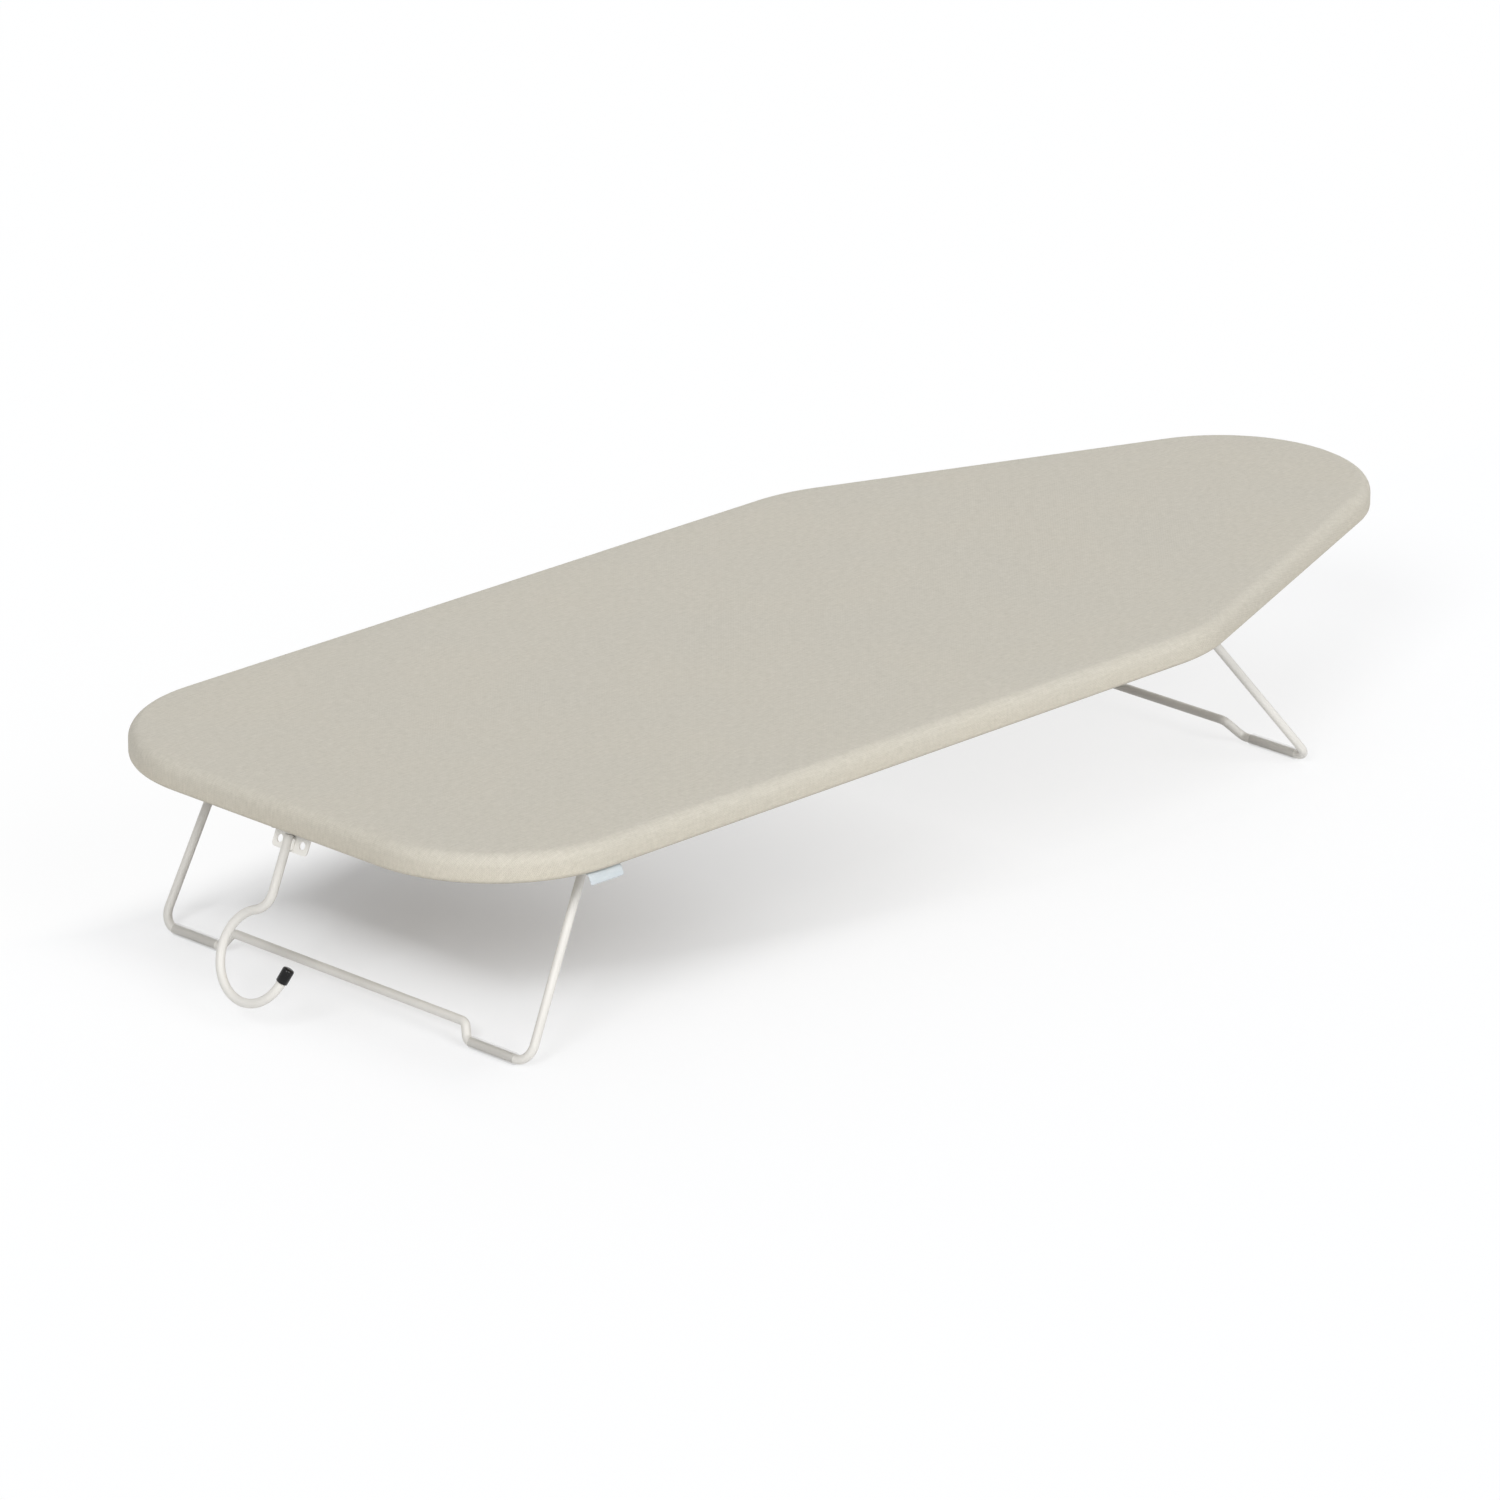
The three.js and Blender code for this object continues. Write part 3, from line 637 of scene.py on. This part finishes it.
# how far the hem stands off the deck at a point, only where it goes round a curve
def gatherAt(co, size, lowZ):
    x, y = co.x - board["middle"], co.y
    out, inset = edgeAt(x, y)
    onHem = co.z <= lowZ + level and inset >= size["bottomRound"]
    atHeelCorner = x < heelX and abs(y) > heelY
    atNose = x > noseX + board["noseRadius"] * math.sin(taper)
    if not onHem or not (atHeelCorner or atNose):
        return 0
    angle = math.atan2(out.y, out.x)
    ripple = sum(high * math.sin(angle * count + shift) for count, high, shift in size["ripples"])
    return size["gather"] * (inset - size["bottomRound"]) / size["hem"] * max(0, ripple)


def makeCover(size):
    lowZ, rimZ = coverLow.z, coverHigh.z - size["crown"]
    bm = makeSlab(0, lowZ, rimZ)
    under, top = sorted(filter(liesFlat, bm.faces), key=lambda f: f.calc_center_median().z)
    bmesh.ops.recalc_face_normals(bm, faces=bm.faces)
    for width, lift in size["crownRings"]:
        bmesh.ops.inset_region(bm, faces=[top], thickness=width, depth=lift * size["crown"])
    for width in size["hemRings"]:
        bmesh.ops.inset_region(bm, faces=[under], thickness=width)
    bmesh.ops.delete(bm, geom=[under], context="FACES_ONLY")
    bm.normal_update()
    roundEdges(bm, rimEdges(bm, rimZ), size["topRound"], size["topSteps"])
    bm.normal_update()
    roundEdges(bm, rimEdges(bm, lowZ), size["bottomRound"], size["bottomSteps"])
    layer = bm.loops.layers.uv.new("cloth")
    for face in bm.faces:
        for loop in face.loops:
            loop[layer].uv = clothPlace(loop.vert.co, size, rimZ, lowZ)
    # share of the way down from the rim: it warms the walls and paints shade towards the lower edge and on
    # the hem
    edge = bm.verts.layers.float.new("edge")
    for vert in bm.verts:
        vert[edge] = min(1, max(0, (rimZ - vert.co.z) / (rimZ - lowZ)))
        vert.co.z -= gatherAt(vert.co, size, lowZ)
    cover = makePiece("fabricCover", bm, coverCloth, "board", sharp=60.0, nodes=["cover"])
    addThickness(cover, "clothThickness", size["cloth"], -1)


makePad()
makeCover(coverSize)


# tag: a short bare tape, its upper end lapped under the hem
def makeTag():
    tagLow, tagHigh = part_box("cover_tag")
    size = {
        "thickness": 0.00055, "inset": 0.002, "bow": 0.0003, "lift": 0.0003, "cuts": 11, "leastFlat": 0.0101,
        "turn": ((0.002, 0), (0.0004, -0.0003), (-0.0002, -0.0012)),  # from the front's upper corner
        "slack": 0.55, "endUp": 0.0002,
    }
    bm = bmesh.new()
    low, front = tagLow.z, size["inset"] - halfWidth + size["thickness"] / 2
    lap, hang = tagHigh.y, tagHigh.z - size["thickness"] / 2
    end, slack = tagLow.y + size["thickness"] / 2, size["slack"]
    middle, half = (tagLow.x + tagHigh.x) / 2, (tagHigh.x - tagLow.x) / 2
    profile = [(lap, hang)] + [(front + y, hang + z) for y, z in size["turn"]]
    profile += [(front + (end - front) * slack, hang + (low - hang) * slack), (end, low + size["endUp"])]
    verts = [bm.verts.new((tagLow.x, y, z)) for y, z in profile]
    chain = [bm.edges.new(pair) for pair in zip(verts, verts[1:])]
    grown = bmesh.ops.extrude_edge_only(bm, edges=chain)["geom"]
    bmesh.ops.translate(bm, vec=(2 * half, 0, 0), verts=onlyVerts(grown))
    wide = [e for e in bm.edges if abs(e.verts[0].co.x - e.verts[1].co.x) > half]
    bmesh.ops.subdivide_edges(bm, edges=wide, cuts=size["cuts"], use_grid_fill=True)
    for vert in bm.verts:  # the hanging end bows a little and one corner lifts
        share = max(0, (hang - vert.co.z) / (hang - low))
        place = (vert.co.x - middle) / half
        vert.co.y -= share * (size["bow"] * (1 - place * place) + size["lift"] * max(0, place))
    layer = bm.loops.layers.uv.new("cloth")
    for face in bm.faces:
        for loop in face.loops:
            co = loop.vert.co
            loop[layer].uv = (co.x - tagLow.x, (lap - co.y) + (hang - co.z))
    tag = makePiece("bareTag", bm, tagCloth, "board", sharp=60.0, nodes=["cover_tag"])
    addThickness(tag, "tapeThickness", size["thickness"], 0)
    smooth = tag.modifiers.new("soften", "SUBSURF")
    smooth.levels = smooth.render_levels = 1
    print("tag made")


makeTag()
deck = frame["nodes"]["deck"]
deck.data.materials.clear()
deck.data.materials.append(fibreboard)


# staples that hold the hem to the deck, evenly spaced along the outline, none under the hook's bracket
def makeStaples():
    size = {
        "crown": 0.0095, "wire": 0.0011, "proud": 0.00055, "sunk": 0.35, "round": 0.00022, "inset": 0.0142,
        "pitch": 0.036, "skew": 4, "skewWaves": (310, 170), "bracketX": -0.32, "bracketHalf": 0.022,
    }
    bm = bmesh.new()
    edge = bmesh.new()
    outlineFace(edge, size["inset"], coverLow.z)
    loop = [v.co.copy() for v in list(edge.faces)[0].verts]
    edge.free()
    spans = list(zip(loop, loop[1:] + loop[:1]))
    total = sum((a - b).length for a, b in spans)
    count = round(total / size["pitch"])
    pitch = total / count
    gone, nextAt = 0.0, size["pitch"] / 2
    for a, b in spans:
        span = (b - a).length
        while gone + span >= nextAt and count:
            at = a.lerp(b, (nextAt - gone) / span)
            nextAt += pitch
            count -= 1
            if at.x < size["bracketX"] and abs(at.y) < size["bracketHalf"]:
                continue
            skew = size["skew"] * math.sin(at.x * size["skewWaves"][0] + at.y * size["skewWaves"][1])
            way = math.atan2(b.y - a.y, b.x - a.x) + math.radians(skew)
            made = bmesh.ops.create_cube(bm, size=1)["verts"]
            bmesh.ops.scale(bm, vec=(size["crown"], size["wire"], size["proud"]), verts=made)
            bmesh.ops.rotate(bm, cent=(0, 0, 0), matrix=Matrix.Rotation(way, 3, "Z"), verts=made)
            bmesh.ops.translate(bm, vec=(at.x, at.y, coverLow.z - size["proud"] * size["sunk"]), verts=made)
        gone += span
    staples = makePiece("hemStaples", bm, stapleSteel, "board", sharp=30.0)
    addBevel(staples, size["round"])
    print("staples made")


makeStaples()

# legs: one bent wire each, pivot ends turned in, foot bar stepped up between two sleeves
legWire = {
    "radius": 0.00225, "sides": 20, "stub": 0.017,
    "footBend": 0.0088, "pivotBend": 0.006, "stepBend": 0.0045, "stepSlope": 60.0,
}
sleeveSize = {"length": 0.030, "radius": 0.0031, "bore": 0.00236, "round": 0.0004, "sides": 28}
legs = [
    {
        "name": "heel", "outward": -1, "lean": 26.0, "pivotHalf": 0.1219, "splay": 0.0065,
        "step": 0.0081, "bare": 0.0004,
    },
    {
        "name": "nose", "outward": 1, "lean": 39.5, "pivotHalf": 0.0983, "splay": 0.0133,
        "step": 0.0114, "bare": 0.0034,
    },
]


def makeSleeve(legName, side, middle, body):
    r, b, c, h = (sleeveSize[k] for k in ("radius", "bore", "round", "length"))
    h /= 2
    outer = rolledEdge(r, -h, 1, c) + [(r, -h / 3), (r, h / 3)] + rolledEdge(r, h, -1, c)[::-1]
    bm = turnProfile(outer + [(b, h), (b, h / 3), (b, -h / 3), (b, -h)], sleeveSize["sides"], True)
    placeMesh(bm, middle, across)
    name = f"{legName}Sleeve{side.capitalize()}"
    makePiece(name, bm, clearVinyl, body, sharp=45.0, nodes=[f"{legName}_foot_sleeve_{side}"])


def makeLeg(leg):
    name, body = leg["name"], leg["name"] + "_leg"
    pivot = Vector(joints[name + "_leg_fold"]["pos_m"])
    lean = math.radians(leg["lean"])
    reach = (pivot.z - sleeveSize["radius"]) / math.cos(lean)
    footHalf = leg["pivotHalf"] + leg["splay"]
    corner = math.pi / 2 + math.atan2(leg["splay"], reach)
    sleeveEnd = footHalf - legWire["footBend"] * math.tan(corner / 2)
    slope = math.radians(legWire["stepSlope"])
    stepLow = sleeveEnd - sleeveSize["length"] - leg["bare"] - legWire["stepBend"] * math.tan(slope / 2)
    stepHigh = stepLow - leg["step"] / math.tan(slope)
    half = [
        ((leg["pivotHalf"] - legWire["stub"], 0), 0),
        ((leg["pivotHalf"], 0), legWire["pivotBend"]),
        ((footHalf, reach), legWire["footBend"]),
        ((stepLow, reach), legWire["stepBend"]),
        ((stepHigh, reach - leg["step"]), legWire["stepBend"]),
    ]
    corners = half + [((-x, d), bend) for (x, d), bend in reversed(half)]
    bm = sweepWire(legWire["radius"], legWire["sides"], *movesThrough(corners))
    down = Vector((leg["outward"] * math.sin(lean), 0, -math.cos(lean)))
    layWire(bm, pivot, down)
    nodes = [name + "_leg_wire"]
    piece = makePiece(name + "LegWire", bm, powderCoat, body, sharp=50.0, nodes=nodes)
    addBevel(piece, **wireEnd)
    for side, sign in (("front", -1), ("back", 1)):
        middle = pivot + down * reach + across * sign * (sleeveEnd - sleeveSize["length"] / 2)
        makeSleeve(name, side, middle, body)
    print(name, "leg made")


for leg in legs:
    makeLeg(leg)

# hook: shank, swan-neck bend and open loop, welded to its plate, with a rubber cap on its end
hookSize = {
    "radius": 0.0023, "sides": 22, "lean": 22.9, "plane": -0.001, "start": 0.0025, "neckDrop": 0.0307,
    "neckBend": 0.0115, "loop": 0.0225, "short": 19.0, "tip": 0.0066, "neckSteps": 16, "loopSteps": 56,
}
weldSize = {
    "radius": 0.00115, "length": 0.0064, "low": 0.0034, "beside": 0.00192, "back": 0.0009,
    "lumps": 5, "dip": 0.84, "endRadius": 0.6, "endStep": 0.3, "sides": 14,
}
capSize = {
    "radius": 0.00295, "length": 0.0076, "bore": 0.0024, "end": 0.001, "round": 0.0008,
    "lip": 0.00024, "waist": 0.45, "start": 0.0003, "sides": 28,
}


def makeCap(mouth, heading):
    r, b, c, h, e, lip = (capSize[k] for k in ("radius", "bore", "round", "length", "end", "lip"))
    profile = [(0, h)] + rolledEdge(r, h, -1, c) + [(r, h * capSize["waist"]), (r, lip), (r - lip, 0)]
    profile += [(b, 0), (b, h - e), (0, h - e)]
    cap = placeMesh(turnProfile(profile, capSize["sides"], False), mouth, heading)
    makePiece("hookCap", cap, capRubber, "hook", sharp=50.0, nodes=["hook_cap"])


# lumpy beads on both sides of the shank, where it meets the plate, in the plate's lighter coat: painted light
# beside the shank
def makeWelds(foot, down):
    r, length, lumps = weldSize["radius"], weldSize["length"], weldSize["lumps"]
    step = length / (2 * lumps)
    bead = [(r * (1 if i % 2 else weldSize["dip"]), step * i) for i in range(1, 2 * lumps)]
    endRadius, endStep = r * weldSize["endRadius"], step * weldSize["endStep"]
    bead = [(0, 0), (endRadius, endStep)] + bead + [(endRadius, length - endStep), (0, length)]
    for name, sign in (("hookWeldFront", -1), ("hookWeldBack", 1)):
        at = foot + across * sign * weldSize["beside"] + down * weldSize["low"]
        bm = placeMesh(turnProfile(bead, weldSize["sides"], False), at, down)
        makePiece(name, bm, plateCoat, "hook", sharp=60.0)


def makeHook():
    pin = Vector(joints["hook_swing"]["pos_m"])
    lean = math.radians(hookSize["lean"])
    down = Vector((-math.sin(lean), 0, -math.cos(lean)))
    face = Vector((math.cos(lean), 0, -math.sin(lean)))
    neck, loop = hookSize["neckBend"], hookSize["loop"]
    lead = math.degrees(math.asin(neck / (loop + neck)))
    swing = 180 - hookSize["short"] + 90 - lead
    moves = [
        ("run", hookSize["neckDrop"] - hookSize["start"]),
        ("bend", neck, -(90 - lead), hookSize["neckSteps"]),
        ("bend", loop, swing, hookSize["loopSteps"]),
        ("run", hookSize["tip"]),
    ]
    bm = sweepWire(hookSize["radius"], hookSize["sides"], (0, hookSize["start"], 0), (0, 1, 0), moves)
    origin = pin + face * hookSize["plane"]
    layWire(bm, origin, down)
    hook = makePiece("hookWire", bm, powderCoat, "hook", sharp=50.0, nodes=["hook_wire"])
    addBevel(hook, **wireEnd)
    last = math.radians(180 - hookSize["short"])
    drop = hookSize["neckDrop"] + (loop + neck) * math.cos(math.radians(lead)) + loop * math.sin(last)
    heading = across * -math.sin(last) + down * math.cos(last)
    makeCap(origin + across * loop * math.cos(last) + down * drop + heading * capSize["start"], heading)
    makeWelds(pin + face * weldSize["back"], down)
    print("hook made")


makeHook()

# pressed sheet pieces: the plates' own shapes, welded and given rolled edges
pressedEdge = {"round": 0.0002, "plateRound": 0.00016, "sharp": 28.0, "flat": 1.5}


def makePressed(node, name, body, width, coat, outerOnly=False):
    bm = bmesh.new()
    bm.from_mesh(frame["nodes"][node].data)
    bmesh.ops.remove_doubles(bm, verts=bm.verts, dist=1e-5)
    flat = math.radians(pressedEdge["flat"])
    bmesh.ops.dissolve_limit(bm, angle_limit=flat, verts=bm.verts, edges=bm.edges)
    sharp = pressedEdge["sharp"]
    if outerOnly:
        bmesh.ops.recalc_face_normals(bm, faces=bm.faces)
        rolled = bm.edges.layers.float.new("bevel_weight_edge")
        for edge in bm.edges:
            edge[rolled] = 1 if edge.calc_face_angle_signed(0) > math.radians(sharp) else 0
    piece = makePiece(name, bm, coat, body, sharp=sharp, nodes=[node])
    addBevel(piece, width, sharp, "WEIGHT" if outerOnly else "ANGLE")


# the plate's roll closes in an inner corner, which stays sharp; the plate takes the lighter coat, painted
# light against the board's shade
makePressed("hook_plate", "hookPlate", "hook", pressedEdge["plateRound"], plateCoat, outerOnly=True)
makePressed("hook_bracket", "hookBracket", "board", pressedEdge["round"], powderCoat)
for end in ("heel", "nose"):
    for side in ("front", "back"):
        name = f"{end}Saddle{side.capitalize()}"
        makePressed(f"{end}_saddle_{side}", name, "board", pressedEdge["round"], powderCoat)
print("pressed pieces made")

# pan-head screws with a cross recess, and the headed pin
screwSize = {
    "head": 0.0032, "height": 0.0019, "shank": 0.0016, "arm": 0.0019, "slot": 0.00048, "deep": 0.0011,
    "pit": 0.72, "sides": 24, "taper": 0.002, "point": 0.0002, "twist": 37, "twistWaves": (97, 41),
    "dome": ((0.72, 0.0), (0.9, 0.22), (1.0, 0.62), (1.0, 0.94)),  # shares of the head's radius and height
}


def makeScrew(node, name):
    low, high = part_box(node)
    size, length = screwSize, high.z - low.z
    middle = Vector(((low.x + high.x) / 2, (low.y + high.y) / 2, low.z))
    bm = bmesh.new()
    bmesh.ops.create_grid(bm, x_segments=1, y_segments=1, size=size["slot"])
    for edge in list(list(bm.faces)[0].edges):
        way = sum((v.co for v in edge.verts), Vector()).normalized()
        grown = bmesh.ops.extrude_edge_only(bm, edges=[edge])["geom"]
        bmesh.ops.translate(bm, vec=way * (size["arm"] - size["slot"]), verts=onlyVerts(grown))
    bmesh.ops.remove_doubles(bm, verts=bm.verts, dist=1e-7)
    bmesh.ops.dissolve_faces(bm, faces=list(bm.faces))
    bmesh.ops.subdivide_edges(bm, edges=list(bm.edges), cuts=1)
    cross = list(bm.faces)
    grown = bmesh.ops.extrude_face_region(bm, geom=cross)["geom"]
    bmesh.ops.delete(bm, geom=cross, context="FACES_ONLY")
    pit = [g for g in grown if isinstance(g, bmesh.types.BMFace)][0]
    bmesh.ops.translate(bm, vec=(0, 0, size["deep"]), verts=pit.verts)
    bmesh.ops.scale(bm, vec=(size["pit"], size["pit"], 1), verts=pit.verts)
    mouth = [e for e in bm.edges if e.is_boundary]
    rings = [(size["head"] * r, size["height"] * z) for r, z in size["dome"]]
    rings += [(size["shank"], rings[-1][1]), (size["shank"], length - size["taper"]), (size["point"], length)]
    ring = bmesh.ops.create_circle(bm, cap_ends=False, radius=rings[0][0], segments=size["sides"])["verts"]
    edges = [e for e in bm.edges if all(v in ring for v in e.verts)]
    bmesh.ops.triangle_fill(bm, edges=mouth + edges, use_beauty=True, normal=(0, 0, 1))
    for radius, z in rings[1:]:
        grown = bmesh.ops.extrude_edge_only(bm, edges=edges)["geom"]
        verts = onlyVerts(grown)
        now = math.hypot(verts[0].co.x, verts[0].co.y)
        bmesh.ops.scale(bm, vec=(radius / now, radius / now, 1), verts=verts)
        bmesh.ops.translate(bm, vec=(0, 0, z - verts[0].co.z), verts=verts)
        edges = [e for e in onlyEdges(grown) if all(v in verts for v in e.verts)]
    bmesh.ops.edgeloop_fill(bm, edges=edges)
    twist = size["twist"] * math.sin(middle.x * size["twistWaves"][0] + middle.y * size["twistWaves"][1])
    bmesh.ops.rotate(bm, cent=(0, 0, 0), matrix=Matrix.Rotation(math.radians(twist), 3, "Z"), verts=bm.verts)
    bmesh.ops.translate(bm, vec=middle, verts=bm.verts)
    makePiece(name, bm, zincPlate, "board", sharp=35.0, nodes=[node])


for node in sorted(frame["nodes"]):
    if "_screw_" in node:
        words = node.split("_")
        makeScrew(node, words[0] + "".join(w.capitalize() for w in words[1:]))


def makePin():
    low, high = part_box("hook_pin")
    size = {"radius": 0.0013, "head": 0.0021, "thick": 0.0008, "round": 0.00035, "sides": 24}
    half = (high.y - low.y) / 2
    under = half - size["thick"]
    end = [(0, half)] + rolledEdge(size["head"], half, -1, size["round"])
    end += [(size["head"], under), (size["radius"], under)]
    bm = turnProfile(end + [(r, -z) for r, z in reversed(end)], size["sides"], False)
    placeMesh(bm, (low + high) / 2, across)
    makePiece("hookPin", bm, zincPlate, "board", sharp=40.0, nodes=["hook_pin"])


makePin()
print("screws and pin made")

# stage: a pale floor that keeps the shadow, lifted in places by a painted glow, in white surroundings
stageLook = {
    "half": 40, "bounce": 0.92, "tint": (0.945, 0.962, 0.99), "ambient": 0.3,
    "rampX": (-0.38, 0.12),  # along the board, where the floor's white share follows the stops below
    "shares": [(0.0, 0.85), (0.08, 0.6), (0.18, 0.55), (0.29, 0.0), (0.60, 0.48), (0.88, 0.75)],
    "fades": ((-0.02, -0.15, 0.8), (0.10, 0.18, 0.92)),  # y where it starts to grow and ends, and its most
}
# a key light from the heel's left, a broad front light, a soft one above and a weak one behind,
# each with the direction it comes from, its strength and its spread in degrees
lamps = [
    ("key", (-0.73, -0.37, 0.57), 1.40, 20),
    ("front", (-0.03, -0.85, 0.53), 1.63, 35),
    ("above", (0.05, 0.05, 1.0), 0.44, 60),
    ("behind", (0.6, 0.65, 0.47), 0.38, 40),
]


def seenRays(tree):
    path = addNode(tree, "ShaderNodeLightPath")
    seen = mathNode(tree, "MAXIMUM", path.outputs["Is Camera Ray"], path.outputs["Is Glossy Ray"])
    return mathNode(tree, "MAXIMUM", seen, path.outputs["Is Transmission Ray"])


# how much of the seen floor is plain white, which lightens the shadow where the photograph has less of it
def whiteShare(tree):
    split = addNode(tree, "ShaderNodeSeparateXYZ")
    tree.links.new(objectPlace(tree), split.inputs["Vector"])
    along = addNode(tree, "ShaderNodeMapRange")
    setInputs(along, {"From Min": stageLook["rampX"][0], "From Max": stageLook["rampX"][1]})
    tree.links.new(split.outputs["X"], along.inputs["Value"])
    share = ramp(tree, along.outputs["Result"], [(at, (grey,) * 3) for at, grey in stageLook["shares"]])
    for begin, finish, most in stageLook["fades"]:
        fade = addNode(tree, "ShaderNodeMapRange", interpolation_type="SMOOTHSTEP")
        setInputs(fade, {"From Min": begin, "From Max": finish, "To Max": most})
        tree.links.new(split.outputs["Y"], fade.inputs["Value"])
        share = mathNode(tree, "MAXIMUM", share, fade.outputs["Result"])
    return share


def mixShaders(tree, factor, first, second):
    node = addNode(tree, "ShaderNodeMixShader")
    for socket, value in zip(node.inputs, (factor, first, second)):
        tree.links.new(value, socket)
    return node.outputs[0]


def makeFloor():
    bm = bmesh.new()
    bmesh.ops.create_grid(bm, x_segments=1, y_segments=1, size=stageLook["half"])
    mesh = bpy.data.meshes.new("floor")
    bm.to_mesh(mesh)
    bm.free()
    floor = bpy.data.objects.new("floor", mesh)
    scene.collection.objects.link(floor)
    material, tree, shader = newMaterial("floorPaper")
    seen = seenRays(tree)
    shade = addNode(tree, "ShaderNodeMix", data_type="RGBA")
    tree.links.new(seen, shade.inputs["Factor"])
    shade.inputs[6].default_value = (*(stageLook["bounce"],) * 3, 1)
    shade.inputs[7].default_value = (*stageLook["tint"], 1)
    tree.links.new(shade.outputs[2], shader.inputs["Base Color"])
    setInputs(shader, {"Roughness": 1, "Specular IOR Level": 0})
    white = addNode(tree, "ShaderNodeEmission").outputs[0]
    clear = addNode(tree, "ShaderNodeBsdfTransparent").outputs[0]
    below = addNode(tree, "ShaderNodeNewGeometry").outputs["Backfacing"]
    paper = mixShaders(tree, mathNode(tree, "MULTIPLY", seen, whiteShare(tree)), shader.outputs[0], white)
    surface = mixShaders(tree, below, paper, clear)
    tree.links.new(surface, tree.nodes["Material Output"].inputs["Surface"])
    mesh.materials.append(material)


def makeSky():
    world = bpy.data.worlds.new("surroundings")
    scene.world = world
    world.use_nodes = True
    sky, ambient = world.node_tree, stageLook["ambient"]
    back = sky.nodes["Background"]
    back.inputs["Color"].default_value = (1, 1, 1, 1)
    sky.links.new(mathNode(sky, "MULTIPLY_ADD", seenRays(sky), 1 - ambient, ambient), back.inputs["Strength"])


def makeLamps():
    for name, way, power, spread in lamps:
        lamp = bpy.data.lights.new(name, "SUN")
        lamp.energy = power
        lamp.angle = math.radians(spread)
        holder = bpy.data.objects.new(name, lamp)
        holder.rotation_euler = Vector(way).to_track_quat("Z", "Y").to_euler()
        scene.collection.objects.link(holder)


makeFloor()
makeSky()
makeLamps()
print("stage lit")
